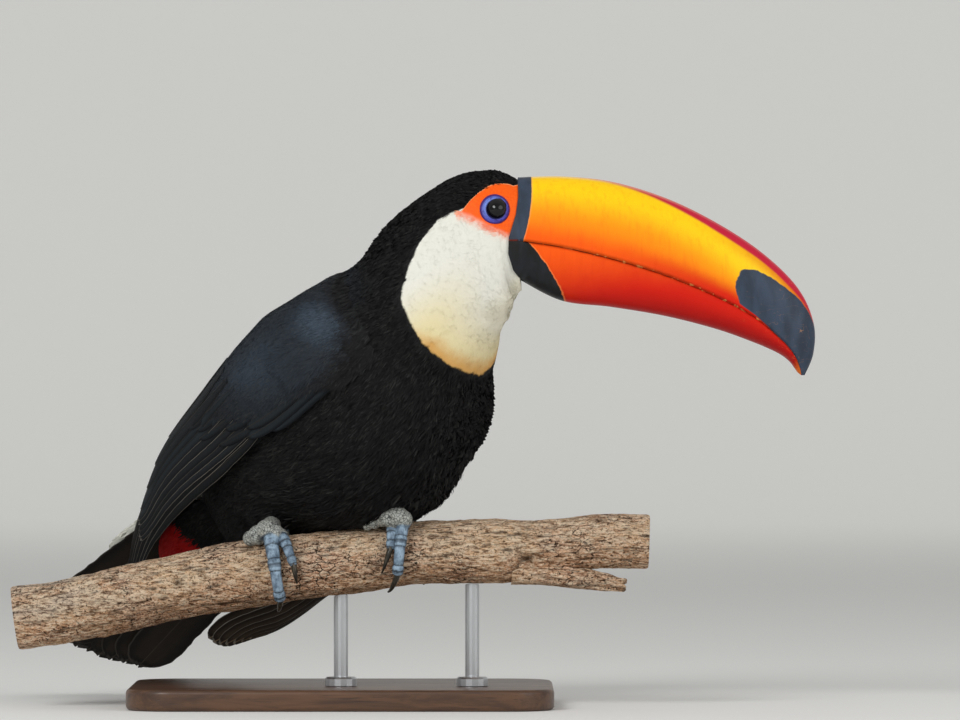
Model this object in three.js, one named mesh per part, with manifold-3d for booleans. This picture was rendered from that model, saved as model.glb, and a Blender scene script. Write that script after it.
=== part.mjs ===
// A life-size toco toucan, perched on a cut length of branch that a plain display stand holds up.
// Millimetres, +Z up. The bird looks along +X and its right side is towards -Y.
import * as THREE from 'three';
import { mergeVertices } from 'three/addons/utils/BufferGeometryUtils.js';
import Module from 'manifold-3d';

const wasm = await Module();
wasm.setup();

// driving dimensions
const gap = 0.35;                    // clearance between pieces that meet
const headPlane = -60;               // the head and bill lie in this plane of constant Y
const bodySides = 20;

// stations along the spine from vent to bill base: centre, heading towards -Y and roll in degrees,
// half width, reach to the back and reach to the belly
const spine = [
  { at: [-62, 46, 97], heading: 52, roll: 22, half: 20, back: 14, belly: 14 },
  { at: [-48, 35, 111], heading: 52, roll: 20, half: 42, back: 36, belly: 32 },
  { at: [-29, 19, 133], heading: 50, roll: 15, half: 57, back: 51, belly: 52 },
  { at: [-9, 3, 155], heading: 47, roll: 9, half: 63, back: 56.5, belly: 72 },
  { at: [10, -14, 180], heading: 43, roll: 4, half: 66, back: 59, belly: 80 },
  { at: [27, -29, 204], heading: 38, roll: 1, half: 62, back: 53.5, belly: 71 },
  { at: [41, -41, 223], heading: 30, roll: 0, half: 51, back: 42.5, belly: 56 },
  { at: [53, -50, 239], heading: 20, roll: 0, half: 39, back: 40, belly: 47 },
  { at: [66, -57, 251], heading: 10, roll: 0, half: 30, back: 43, belly: 43 },
  { at: [79, -60, 258], heading: 2, roll: 0, half: 27, back: 45, belly: 42 },
  { at: [90, -60, 260.5], heading: 0, roll: 0, half: 25, back: 41, belly: 37 },
  { at: [100, -60, 260.5], heading: 0, roll: 0, half: 21.5, back: 37.8, belly: 26 },
];
const neckFrom = 5.6;
const headFrom = 7.7;
const trunkRings = 13;
const neckRings = 5;
const headRings = 9;

// stations of the form that both folded wings wrap, from the tip of the wing to its bend
const wingForm = [
  { at: [-109, 80, 50], heading: 52, roll: 25, half: 27, back: 18, belly: 22 },
  { at: [-94, 68, 68], heading: 52, roll: 25, half: 33, back: 24, belly: 28 },
  { at: [-77, 53, 92], heading: 52, roll: 23, half: 44.5, back: 37, belly: 35 },
  { at: [-54, 35, 116], heading: 52, roll: 18, half: 55.5, back: 49.5, belly: 48 },
  { at: [-26, 15, 142], heading: 50, roll: 12, half: 63, back: 56.5, belly: 61 },
  { at: [-1, -5, 168], heading: 46, roll: 7, half: 66, back: 60.5, belly: 78 },
  { at: [20, -23, 196], heading: 41, roll: 3, half: 65, back: 56.5, belly: 76 },
  { at: [36, -37, 218], heading: 34, roll: 0, half: 55, back: 44, belly: 62 },
];
const wing = {
  bend: 6.95, covertEnd: 2.15, tipRoot: 3, tip: { right: 0, left: 0.6 },
  top: 24, bottom: 111, thick: 4.8, thickEnd: 2.6, lip: 1.5, sunk: 1.2,
  hang: { right: 0, left: 20 },
};

const tail = {
  root: [-62, 40, 109], heading: 52, pitch: -28.5, roll: 25,
  feathers: 10, length: 173, outerShort: 14, half: 16.5, thick: 1.1,
  rootSpread: 4.6, fanSpread: 3, droop: 1,
};

const bill = {
  culmen: [[100.4, 298.4], [124, 299], [152, 296], [182, 287], [210, 273.5], [236, 256.5],
    [256, 237], [265.5, 217], [265.5, 200], [260.6, 187.5]],
  mouth: [[100.4, 262.4], [124, 258.8], [152, 252.2], [182, 243], [210, 231.5], [232, 219.5],
    [247, 207], [254, 199], [257, 192.5], [258.6, 187.5]],
  keel: [[100.4, 241], [124, 229.2], [152, 225.6], [182, 220.6], [210, 213.5], [230, 206.5],
    [244, 200.5], [251.5, 195.6], [254.6, 191.8], [256.4, 189.2]],
  halfBase: 21, halfTip: 2.2, lowerShare: 0.9, edge: 0.07, taper: 2.2, blunt: 0.8,
  sides: 12, steps: 15,
};

const eye = { at: [87.4, 280], radius: 6.6, outward: 18 };

const coverSides = 8;
const coverUp = { from: -14, to: 70, rise: 9, tip: 5, half: 37, deep: 8 };
const coverUnder = { from: -12, to: 60, rise: -9, tip: -5.5, half: 28, deep: 11.5 };

const branch = {
  y: -28, from: -184, to: 174, steps: 25, sides: 12, radius: 18.8, endRadius: 15.4,
  line: [[-193, 48.8], [-159, 53.9], [-125, 60.9], [-91.5, 68], [-57, 74], [-23, 79.2],
    [11, 83.7], [45, 87], [78, 87.7], [101, 88.6], [124, 91.2], [147, 93.8], [181, 93.2]],
};
const stub = { from: [97, -33, 78], to: [161, -35, 69.5], radius: 8.5, endRadius: 4 };

const stand = {
  length: 240, width: 170, height: 12, corner: 26, bevel: 2,
  rodRadius: 4, footRadius: 9, footHeight: 5, rodAt: [0, 74], rodTop: 84,
};

const toeRadius = 3.7;
const clawRadius = 1.9;
// each toe: number, place along the branch at its root, splay at its tip, and its arc in degrees
// over the branch, where 0 is the top and a quarter turn is the front
const feet = {
  right: { at: -38, toes: [
    { name: 1, shift: 5, splay: 6, from: -22, to: -92, radius: 0.8, claw: 26 },
    { name: 2, shift: 10.4, splay: 0, from: 14, to: 92, radius: 0.82, claw: 30 },
    { name: 3, shift: 3, splay: 1, from: 8, to: 133, radius: 1, claw: 32 },
    { name: 4, shift: -5, splay: -9, from: -22, to: -112, radius: 0.95, claw: 30 },
  ] },
  left: { at: 30, toes: [
    { name: 1, shift: -5, splay: -6, from: -22, to: -92, radius: 0.8, claw: 26 },
    { name: 2, shift: -3, splay: -1, from: 14, to: 80, radius: 0.82, claw: 28 },
    { name: 3, shift: 5, splay: -3, from: 8, to: 116, radius: 1, claw: 36 },
    { name: 4, shift: 5, splay: 9, from: -22, to: -112, radius: 0.95, claw: 30 },
  ] },
};

const thigh = {
  right: { centre: [-37, -14, 112], radii: [18, 15, 15] },
  left: { centre: [31, -25, 118], radii: [17, 14, 15] },
};
const tarsi = {
  right: { at: [-40, -41, 100.5], from: [-38, -21, 112] },
  left: { at: [30, -46, 106.5], from: [31, -28, 118] },
};

const degree = Math.PI / 180;
const v3 = (list) => new THREE.Vector3(...list);
const steps = (count) => Array.from({ length: count }, (_, k) => k);
const mix = (a, b, t) => a + (b - a) * t;
const smooth = (t) => {
  const c = Math.min(Math.max(t, 0), 1);
  return c * c * (3 - 2 * c);
};

const finish = (color, roughness, metalness = 0) => (
  new THREE.MeshStandardMaterial({ color, roughness, metalness })
);
const finishes = {
  blackPlumage: finish(0x1a1a1c, 0.8),
  mantlePlumage: finish(0x2b3439, 0.7),
  whitePlumage: finish(0xe4e0cc, 0.85),
  redPlumage: finish(0x8a0d08, 0.85),
  orangeBill: finish(0xff8c14, 0.35),
  redBill: finish(0xdc3008, 0.35),
  eye: finish(0x0c0a0a, 0.08),
  blueSkin: finish(0x8ea0b0, 0.6),
  claw: finish(0x433b32, 0.5),
  bark: finish(0x8c7464, 0.9),
  brokenWood: finish(0x9a7f68, 0.9),
  standWood: finish(0x5a3d28, 0.5),
  steel: finish(0xb8bcc0, 0.3, 1),
};

const model = new THREE.Group();

// adds a named piece from a solid or a geometry
function addPiece(name, shape, material) {
  const geometry = shape instanceof THREE.BufferGeometry ? shape : toGeometry(shape);
  geometry.computeVertexNormals();
  const mesh = new THREE.Mesh(geometry, material);
  mesh.name = name;
  model.add(mesh);
}

function toSolid(geometry) {
  const bare = geometry.index ? geometry.clone() : geometry;
  bare.deleteAttribute('normal');
  bare.deleteAttribute('uv');
  const merged = mergeVertices(bare, 1e-4);
  return new wasm.Manifold(new wasm.Mesh({
    numProp: 3,
    vertProperties: Float32Array.from(merged.attributes.position.array),
    triVerts: Uint32Array.from(merged.index.array),
  }));
}

function toGeometry(solid) {
  const mesh = solid.getMesh();
  const geometry = new THREE.BufferGeometry();
  geometry.setAttribute('position', new THREE.BufferAttribute(mesh.vertProperties, 3));
  geometry.setIndex(new THREE.BufferAttribute(mesh.triVerts, 1));
  return geometry;
}

// a closed solid through rings of equal point counts, turned to face outward
function loft(rings) {
  const count = rings[0].length;
  const points = rings.flat();
  const triangles = [];
  steps(rings.length - 1).forEach((i) => {
    steps(count).forEach((j) => {
      const a = i * count + j;
      const b = i * count + ((j + 1) % count);
      triangles.push(a, b, b + count, a, b + count, a + count);
    });
  });
  [0, rings.length - 1].forEach((i) => {
    const middle = new THREE.Vector3();
    rings[i].forEach((point) => middle.addScaledVector(point, 1 / count));
    const hub = points.push(middle) - 1;
    steps(count).forEach((j) => {
      const a = i * count + j;
      const b = i * count + ((j + 1) % count);
      triangles.push(...(i === 0 ? [b, a, hub] : [a, b, hub]));
    });
  });
  const volume = steps(triangles.length / 3).reduce((sum, k) => {
    const [a, b, c] = triangles.slice(3 * k, 3 * k + 3).map((n) => points[n]);
    return sum + a.dot(new THREE.Vector3().crossVectors(b, c));
  }, 0);
  const geometry = new THREE.BufferGeometry().setFromPoints(points);
  geometry.setIndex(volume < 0 ? triangles.reverse() : triangles);
  return toSolid(geometry);
}

// a smooth curve of plain numbers through stations, read at a station number
function track(stations, read) {
  const points = stations.map((station) => v3(read(station)));
  const curve = new THREE.CatmullRomCurve3(points, false, 'catmullrom', 0.5);
  const last = stations.length - 1;
  return {
    value: (step) => curve.getPoint(step / last),
    tangent: (step) => curve.getTangent(step / last),
  };
}

// forward, left and up of a section; a roll lowers its left side
function sectionFrame(heading, roll, forward) {
  const turn = heading * degree;
  const level = new THREE.Vector3(Math.sin(turn), Math.cos(turn), 0);
  const left = level.addScaledVector(forward, -level.dot(forward)).normalize();
  left.applyAxisAngle(forward, -roll * degree);
  const up = new THREE.Vector3().crossVectors(forward, left);
  return { forward, left, up };
}

// a form whose sections follow stations; angle 0 is the back, a quarter turn the left side
function sectionedForm(stations) {
  const centres = track(stations, (s) => s.at);
  const sizes = track(stations, (s) => [s.half, s.back, s.belly]);
  const turns = track(stations, (s) => [s.heading, s.roll, 0]);
  const section = (step) => {
    const size = sizes.value(step);
    const turn = turns.value(step);
    const frame = sectionFrame(turn.x, turn.y, centres.tangent(step));
    return { centre: centres.value(step), half: size.x, back: size.y, belly: size.z, ...frame };
  };
  const point = (step, angle, grow = 0) => {
    const s = section(step);
    const across = Math.sin(angle) * (s.half + grow);
    const rise = Math.cos(angle) * ((Math.cos(angle) > 0 ? s.back : s.belly) + grow);
    return s.centre.addScaledVector(s.left, across).addScaledVector(s.up, rise);
  };
  const ring = (step, grow = 0, shift = 0) => {
    const { forward } = section(step);
    return steps(bodySides).map((k) => (
      point(step, (k / bodySides) * 2 * Math.PI, grow).addScaledVector(forward, shift)
    ));
  };
  return { section, point, ring };
}

const body = sectionedForm(spine);

// a length of the body between two stations, its first ring moved on by the gap
function bodyLength(from, to, rings, grow = 0, shift = 0) {
  return loft(steps(rings + 1).map((i) => (
    body.ring(mix(from, to, i / rings), grow, i === 0 ? shift : 0)
  )));
}

function ellipsoid(centre, radii, grow = 0) {
  const geometry = new THREE.SphereGeometry(1, 12, 8);
  geometry.scale(...radii.map((r) => r + grow));
  geometry.translate(...centre);
  return toSolid(geometry);
}

// a round bar along a curve; radius(t) gives its radius along the curve
function bar(curve, radius, count, sides, squash = 1) {
  const frames = curve.computeFrenetFrames(count, false);
  return loft(steps(count + 1).map((i) => {
    const t = i / count;
    const centre = curve.getPoint(t);
    return steps(sides).map((k) => {
      const angle = (k / sides) * 2 * Math.PI;
      return centre.clone()
        .addScaledVector(frames.normals[i], Math.cos(angle) * radius(t, angle))
        .addScaledVector(frames.binormals[i], Math.sin(angle) * radius(t, angle) * squash);
    });
  }));
}

const wrap = sectionedForm(wingForm);
const sideName = (side) => (side < 0 ? 'right' : 'left');

// folded wing: a shell over the wing form between two angles, thickest in the middle
function wingShell(side, from, to, edges, thick, count, grow = 0) {
  const hang = wing.hang[sideName(side)];
  const across = 6;
  const lengthen = 0.03 * grow;
  return loft(steps(count + 1).map((i) => {
    const t = i / count;
    const step = mix(from + lengthen, to - lengthen, t);
    const top = edges(t).top - grow;
    const bottom = edges(t).bottom + grow;
    const outer = steps(across + 1).map((k) => {
      const u = k / across;
      const swell = wing.lip + thick(t) * Math.sin(Math.PI * u) ** 0.6 + grow;
      return wrap.point(step, side * mix(top, bottom, u) * degree, swell);
    });
    const inner = steps(across + 1).map((k) => (
      wrap.point(step, side * mix(bottom, top, k / across) * degree, -wing.sunk - grow)
    ));
    const drop = hang * smooth((wing.bend - step) / 3.4);
    return [...outer, ...inner].map((point) => point.setZ(point.z - drop));
  }));
}

function coverts(side, grow = 0) {
  const edges = (t) => {
    const front = Math.sqrt(1 - (1 - Math.min(t / 0.16, 1)) ** 2);
    const rear = Math.sqrt(Math.max(1 - Math.max((t - 0.8) / 0.2, 0) ** 2, 0.04));
    const top = mix(mix(78, wing.top, front), mix(wing.top, 62, 1 - rear), t);
    const bottom = mix(92, wing.bottom, front) - 22 * (1 - rear);
    return { top, bottom };
  };
  const thick = (t) => mix(wing.thick, wing.thickEnd, t) * smooth(0.3 + t * 6);
  return wingShell(side, wing.bend, wing.covertEnd, edges, thick, 12, grow);
}

function primaries(side) {
  const edges = (t) => {
    const half = mix(20, 13, t) * Math.sqrt(1.02 - smooth((t - 0.7) / 0.3));
    const middle = mix(92, 84, t);
    return { top: middle - half, bottom: middle + half };
  };
  return wingShell(side, wing.tipRoot, wing.tip[sideName(side)], edges, () => 0.9, 6);
}

// tail feathers: flat blades fanned from the root, the middle pair on top
function tailFrame() {
  const pitch = tail.pitch * degree;
  const turn = tail.heading * degree;
  const forward = new THREE.Vector3(Math.cos(turn), -Math.sin(turn), 0)
    .multiplyScalar(Math.cos(pitch)).add(new THREE.Vector3(0, 0, -Math.sin(pitch)));
  return sectionFrame(tail.heading, tail.roll, forward);
}

function tailFeather(index, grow = 0) {
  const { forward, left, up } = tailFrame();
  const place = index - (tail.feathers - 1) / 2;
  const outward = Math.abs(place);
  const length = tail.length - tail.outerShort * (outward / 4.5) ** 2;
  const count = 5;
  return loft(steps(count + 1).map((i) => {
    const t = i / count;
    const along = (length + grow) * (1 - (1 - t) ** 1.4);
    const reach = along / length;
    const round = Math.sqrt(Math.max(1 - Math.max((reach - 0.84) / 0.16, 0) ** 2.4, 0.03));
    const half = tail.half * (0.45 + 0.55 * smooth(reach / 0.45)) * round;
    const across = place * mix(tail.rootSpread, tail.rootSpread + tail.fanSpread, reach);
    const drop = -outward * tail.droop - (outward * reach) ** 2 * 0.15;
    const centre = v3(tail.root).addScaledVector(forward, -along)
      .addScaledVector(left, across).addScaledVector(up, drop);
    return [[1, 0], [0, 1], [-1, 0], [0, -1]].map(([x, y]) => (
      centre.clone().addScaledVector(left, x * (half + 2 * grow))
        .addScaledVector(up, y * (tail.thick + grow))
    ));
  }));
}

// a tongue of coverts over or under the root of the tail
function covertTongue({ from, to, rise, tip, half, deep }, grow = 0) {
  const { forward, left, up } = tailFrame();
  const count = 7;
  return loft(steps(count + 1).map((i) => {
    const t = i / count;
    const round = Math.sqrt(Math.max(1 - Math.max((t - 0.45) / 0.55, 0) ** 2, 0.02));
    const centre = v3(tail.root).addScaledVector(forward, -mix(from - grow, to + grow, t))
      .addScaledVector(up, mix(rise, tip, t));
    return steps(coverSides).map((k) => {
      const angle = (k / coverSides) * 2 * Math.PI;
      return centre.clone().addScaledVector(left, Math.cos(angle) * (half * round + grow))
        .addScaledVector(up, Math.sin(angle) * (deep * round + grow));
    });
  }));
}

// a point of one of the bill's profile lines
function profilePoint(line, t) {
  return new THREE.SplineCurve(line.map(([x, z]) => new THREE.Vector2(x, z))).getPoint(t);
}

// a mandible: flat along the line of the mouth and rounded out to its other profile line
function mandible(outerLine, halfShare, clearance) {
  const { halfTip, halfBase, edge, sides, taper, blunt } = bill;
  return loft(steps(bill.steps + 1).map((i) => {
    const t = i / bill.steps;
    const mouth = profilePoint(bill.mouth, t);
    const span = profilePoint(outerLine, t).sub(mouth);
    const half = halfShare * mix(halfBase, halfTip, t ** taper);
    return steps(sides).map((k) => {
      const angle = (k / sides) * 2 * Math.PI;
      const rise = Math.sin(angle);
      const height = edge + (1 - edge) * Math.max(rise, 0) - (rise < 0 ? edge : 0);
      const place = mouth.clone().addScaledVector(span, mix(clearance, 1, height));
      const across = Math.sign(Math.cos(angle)) * Math.abs(Math.cos(angle)) ** blunt * half;
      return new THREE.Vector3(place.x, headPlane + across, place.y);
    });
  }));
}

const branchLine = new THREE.CatmullRomCurve3(branch.line.map(([x, z]) => new THREE.Vector3(x, 0, z)));

// the height of the branch's middle at a place along it
function branchHeight(x) {
  let t = 0.5;
  for (let size = 0.25; size > 1e-5; size /= 2) t += branchLine.getPoint(t).x < x ? size : -size;
  return branchLine.getPoint(t).z;
}

// branch: a bar with a slowly wandering, knotted section
function branchBar(grow = 0) {
  return loft(steps(branch.steps + 1).map((i) => {
    const x = mix(branch.from - grow, branch.to + grow, i / branch.steps);
    const z = branchHeight(x);
    const slope = (branchHeight(x + 1) - branchHeight(x - 1)) / 2;
    const lean = Math.atan(slope);
    const radius = mix(branch.radius, branch.endRadius, smooth((x - 85) / 50));
    return steps(branch.sides).map((k) => {
      const angle = (k / branch.sides) * 2 * Math.PI;
      const wave = Math.sin(2 * angle + x * 0.031) * 0.5 + Math.sin(3 * angle - x * 0.047) * 0.35;
      const swell = Math.sin(x * 0.09) * 0.4 + wave;
      const r = radius + swell + grow;
      return new THREE.Vector3(
        x - Math.sin(lean) * Math.sin(angle) * r,
        branch.y + Math.cos(angle) * r,
        z + Math.cos(lean) * Math.sin(angle) * r,
      );
    });
  }));
}

// feet: toes curl over the branch, each ending in a claw
function toePath(foot, toe, from, to, lift) {
  const count = 6;
  return new THREE.CatmullRomCurve3(steps(count + 1).map((i) => {
    const t = i / count;
    const angle = mix(from, to, t) * degree;
    const share = Math.abs((mix(from, to, t) - toe.from) / (toe.to - toe.from));
    const x = foot.at + toe.shift + toe.splay * share;
    const reach = branch.radius + toeRadius * toe.radius + 1.6 + lift(t);
    const y = branch.y - Math.sin(angle) * reach;
    return new THREE.Vector3(x, y, branchHeight(x) + Math.cos(angle) * reach);
  }));
}

const toeBar = (foot, toe, grow = 0) => bar(
  toePath(foot, toe, toe.from, toe.to, () => 0),
  (t) => toeRadius * toe.radius * mix(1.05, 0.72, t) * (t < 0.02 || t > 0.98 ? 0.7 : 1) + grow,
  6, 7,
);

function clawBar(foot, toe) {
  const turn = Math.sign(toe.to - toe.from);
  const start = toe.to + turn * 1.5;
  return bar(
    toePath(foot, toe, start, start + turn * toe.claw, (t) => -1.2 * t * t),
    (t) => clawRadius * mix(1.15, 0.3, t ** 1.3),
    4, 6,
  );
}

function roundedPlate() {
  const { length, width, height, corner, bevel } = stand;
  const halfLength = length / 2 - bevel;
  const halfWidth = width / 2 - bevel;
  const shape = new THREE.Shape();
  shape.moveTo(-halfLength + corner, -halfWidth);
  [[1, -1, -90], [1, 1, 0], [-1, 1, 90], [-1, -1, 180]].forEach(([x, y, start]) => {
    shape.absarc(x * (halfLength - corner), y * (halfWidth - corner), corner,
      start * degree, (start + 90) * degree);
  });
  const geometry = new THREE.ExtrudeGeometry(shape, {
    depth: height - 2 * bevel, bevelThickness: bevel, bevelSize: bevel, bevelSegments: 1, curveSegments: 4,
  });
  geometry.translate(0, 0, bevel);
  return geometry;
}

function standRod(x) {
  const { rodRadius, footRadius, footHeight, rodTop, height } = stand;
  const profile = [[0, 0], [footRadius, 0], [footRadius, footHeight - 1], [footRadius - 1, footHeight],
    [rodRadius, footHeight], [rodRadius, rodTop - height], [0, rodTop - height]];
  const geometry = new THREE.LatheGeometry(profile.map(([r, z]) => new THREE.Vector2(r, z)), 16);
  geometry.rotateX(Math.PI / 2);
  geometry.translate(x, branch.y, height + gap);
  return toSolid(geometry);
}

// the largest body of a solid, without the slivers that a cut can leave
function largest(solid) {
  return solid.decompose().sort((a, b) => b.volume() - a.volume())[0];
}

function cut(solid, ...others) {
  return largest(others.reduce((rest, other) => rest.subtract(other), solid));
}

function tarsusBar({ at, from }, grow = 0) {
  const path = new THREE.LineCurve3(v3(at), v3(from));
  return bar(path, (t) => mix(6.6, 5, smooth(t)) + grow, 4, 10);
}

function addBird(perch) {
  const bodyGrown = bodyLength(0, neckFrom, trunkRings, gap)
    .add(bodyLength(neckFrom, headFrom, neckRings, gap));
  const tailWhole = (grow) => (
    wasm.Manifold.union(steps(tail.feathers).map((index) => tailFeather(index, grow)))
  );
  const tailGrown = tailWhole(gap);
  const upGrown = covertTongue(coverUp, gap);
  const underGrown = covertTongue(coverUnder, gap);
  const thighHoles = [];
  const footHoles = [];
  const eyeHoles = [];
  ['right', 'left'].forEach((name) => {
    const side = name === 'right' ? -1 : 1;
    const foot = feet[name];
    const { centre, radii } = thigh[name];
    const at = [eye.at[0], headPlane + side * eye.outward, eye.at[1]];
    const eyeRadii = [eye.radius, eye.radius, eye.radius];
    eyeHoles.push(ellipsoid(at, eyeRadii, gap));
    const thighHole = ellipsoid(centre, radii, gap);
    const footHole = foot.toes.map((toe) => toeBar(foot, toe, gap));
    thighHoles.push(thighHole);
    footHoles.push(...footHole, tarsusBar(tarsi[name], gap));
    addPiece(`eye_${name}`, ellipsoid(at, eyeRadii), finishes.eye);
    addPiece(`thigh_${name}`, cut(ellipsoid(centre, radii), perch, ...footHoles), finishes.blackPlumage);
    const tarsus = tarsusBar(tarsi[name]);
    addPiece(`tarsus_${name}`, cut(tarsus, perch, ...footHole), finishes.blueSkin);
    addPiece(`wing_${name}`, cut(coverts(side), bodyGrown, upGrown, tailGrown), finishes.mantlePlumage);
    const tips = cut(primaries(side), bodyGrown, coverts(side, 0.5), upGrown, underGrown, tailGrown);
    addPiece(`primaries_${name}`, tips, finishes.blackPlumage);
    foot.toes.forEach((toe) => {
      addPiece(`toe_${name}_${toe.name}`, toeBar(foot, toe), finishes.blueSkin);
      addPiece(`claw_${name}_${toe.name}`, clawBar(foot, toe), finishes.claw);
    });
  });
  const trunk = cut(bodyLength(0, neckFrom, trunkRings), perch, ...thighHoles, ...footHoles);
  addPiece('trunk', trunk, finishes.blackPlumage);
  addPiece('neck', bodyLength(neckFrom, headFrom, neckRings, 0, gap), finishes.whitePlumage);
  const head = bodyLength(headFrom, spine.length - 1, headRings, 0, gap);
  addPiece('head', cut(head, ...eyeHoles), finishes.blackPlumage);
  addPiece('tail', cut(tailWhole(0), bodyGrown), finishes.blackPlumage);
  const up = cut(covertTongue(coverUp), bodyGrown, tailGrown);
  addPiece('tail_coverts_upper', up, finishes.whitePlumage);
  const under = cut(covertTongue(coverUnder), bodyGrown, tailGrown, upGrown);
  addPiece('tail_coverts_under', under, finishes.redPlumage);
}

function stubBar() {
  const path = new THREE.LineCurve3(v3(stub.from), v3(stub.to));
  return bar(path, (t, angle) => (
    mix(stub.radius, stub.endRadius, t) * (1 + 0.12 * Math.sin(3 * angle + 5 * t))
  ), 5, 9, 1.2);
}

const perchGrown = branchBar(gap);
addBird(perchGrown);
addPiece('upper_bill', mandible(bill.culmen, 1, 0.005), finishes.orangeBill);
addPiece('lower_bill', mandible(bill.keel, bill.lowerShare, 0.015), finishes.redBill);
addPiece('perch', branchBar(), finishes.bark);
addPiece('perch_stub', cut(stubBar(), perchGrown), finishes.brokenWood);
addPiece('stand_base', roundedPlate(), finishes.standWood);
stand.rodAt.forEach((x, k) => {
  addPiece(`stand_rod_${k + 1}`, cut(standRod(x), perchGrown), finishes.steel);
});

export default model;
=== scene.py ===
import math

import bpy
import numpy as np
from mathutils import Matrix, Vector, noise
from mathutils.bvhtree import BVHTree


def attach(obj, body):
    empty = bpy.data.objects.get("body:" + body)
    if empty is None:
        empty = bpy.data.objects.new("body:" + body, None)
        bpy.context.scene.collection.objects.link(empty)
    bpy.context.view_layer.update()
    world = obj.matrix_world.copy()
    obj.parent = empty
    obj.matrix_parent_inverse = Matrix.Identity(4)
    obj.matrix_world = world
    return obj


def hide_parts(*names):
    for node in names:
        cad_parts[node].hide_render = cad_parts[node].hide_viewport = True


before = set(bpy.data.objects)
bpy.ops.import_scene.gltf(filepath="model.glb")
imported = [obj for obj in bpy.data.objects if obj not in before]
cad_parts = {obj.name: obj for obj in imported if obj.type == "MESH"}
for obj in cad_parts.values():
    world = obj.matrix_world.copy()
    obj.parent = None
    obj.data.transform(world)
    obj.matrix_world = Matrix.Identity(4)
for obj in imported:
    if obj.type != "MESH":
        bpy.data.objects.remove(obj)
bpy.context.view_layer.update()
chance = np.random.default_rng(23)
metre = 0.001          # the numbers below are millimetres
headPlane = -60.0      # the head and the bill lie in this plane of constant y


# numbers

def mix(a, b, t):
    return a + (b - a) * t


def smooth(t):
    t = np.clip(t, 0.0, 1.0)
    return t * t * (3.0 - 2.0 * t)


def unit(v):
    return v / np.maximum(np.linalg.norm(v, axis=-1, keepdims=True), 1e-9)


# a smooth curve through rows of numbers, read at a place counted in rows
def track(rows, step, mirrored=True):
    rows = np.array(rows, float)
    last = len(rows) - 1
    before = 2 * rows[0] - rows[1] if mirrored else rows[0]
    after = 2 * rows[-1] - rows[-2] if mirrored else rows[-1]
    padded = np.vstack([before, rows, after])
    cell = np.clip(np.floor(step).astype(int), 0, last - 1)
    t = (step - cell)[..., None]
    a, b, c, d = (padded[cell + k] for k in range(4))
    enter, leave = (c - a) / 2, (d - b) / 2
    square = 3 * (c - b) - 2 * enter - leave
    return b + enter * t + square * t ** 2 + (2 * (b - c) + enter + leave) * t ** 3


# a form whose sections follow stations; angle 0 is the back, a quarter turn the left side
class Form:
    def __init__(self, stations):
        self.last = len(stations) - 1
        self.centres = [s[0] for s in stations]
        self.turns = [s[1:3] for s in stations]
        self.sizes = [s[3:6] for s in stations]

    def sections(self, step):
        step = np.asarray(step, float)
        small = 1e-3
        centre = track(self.centres, step)
        forward = unit(track(self.centres, step + small) - track(self.centres, step - small))
        turn = np.radians(track(self.turns, step))
        level = np.stack([np.sin(turn[..., 0]), np.cos(turn[..., 0]), 0 * turn[..., 0]], -1)
        left = unit(level - forward * (level * forward).sum(-1, keepdims=True))
        roll = -turn[..., 1:2]
        left = left * np.cos(roll) + np.cross(forward, left) * np.sin(roll)
        size = np.maximum(track(self.sizes, step), 3.0)
        return centre, left, np.cross(forward, left), size

    def point(self, step, angle, grow=0.0):
        centre, left, up, size = self.sections(step)
        upward = np.cos(angle)
        across = np.sin(angle) * (size[..., 0] + grow)
        rise = upward * (np.where(upward > 0, size[..., 1], size[..., 2]) + grow)
        return centre + left * across[..., None] + up * rise[..., None]


# meshes

def gridFaces(rows, columns, closed=False):
    across = columns if closed else columns - 1
    i, j = np.meshgrid(np.arange(rows - 1), np.arange(across), indexing="ij")
    a = i * columns + j
    b = i * columns + (j + 1) % columns
    return np.stack([a, b, b + columns, a + columns], -1).reshape(-1, 4)


# triangles that close a form's first and last row onto two points added after its own
def endFaces(rows, columns, closed=True):
    first = np.arange(columns if closed else columns - 1)
    after = (first + 1) % columns
    last = (rows - 1) * columns
    hub = np.full(len(first), rows * columns)
    ends = [(after, first, hub), (first + last, after + last, hub + 1)]
    return np.vstack([np.stack(end, -1) for end in ends])


# repeats one piece's faces for many pieces of equal point counts
def repeatFaces(faces, count, points):
    faces = np.asarray(faces)
    return (faces[None] + np.arange(count)[:, None, None] * points).reshape(-1, faces.shape[1])


def addMesh(name, points, faces, material, values=None, patch=None, replaces=()):
    points = np.asarray(points, float).reshape(-1, 3) * metre
    groups = [np.asarray(f) for f in (faces if isinstance(faces, list) else [faces]) if len(f)]
    corners = np.concatenate([g.ravel() for g in groups])
    counts = np.concatenate([np.full(len(g), g.shape[1]) for g in groups])
    mesh = bpy.data.meshes.new(name)
    mesh.vertices.add(len(points))
    mesh.vertices.foreach_set("co", points.ravel())
    mesh.loops.add(len(corners))
    mesh.loops.foreach_set("vertex_index", corners.astype(np.int32))
    mesh.polygons.add(len(counts))
    mesh.polygons.foreach_set("loop_start", np.concatenate([[0], np.cumsum(counts)[:-1]]).astype(np.int32))
    mesh.polygons.foreach_set("use_smooth", np.ones(len(counts), bool))
    mesh.update(calc_edges=True)
    for key, value in (values or {}).items():
        value = np.asarray(value, np.float32)
        kind, field = ("FLOAT_VECTOR", "vector") if value.size == 3 * len(points) else ("FLOAT", "value")
        mesh.attributes.new(key, kind, "POINT").data.foreach_set(field, value.ravel())
    if patch is not None:
        layer = mesh.uv_layers.new(name="OFBake")
        layer.data.foreach_set("uv", np.asarray(patch, np.float32).reshape(-1, 2)[corners].ravel())
    mesh.materials.append(material)
    piece = bpy.data.objects.new(name, mesh)
    bpy.context.scene.collection.objects.link(piece)
    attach(piece, "root")
    if replaces:
        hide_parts(*replaces)
    return piece


# shader maths

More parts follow.
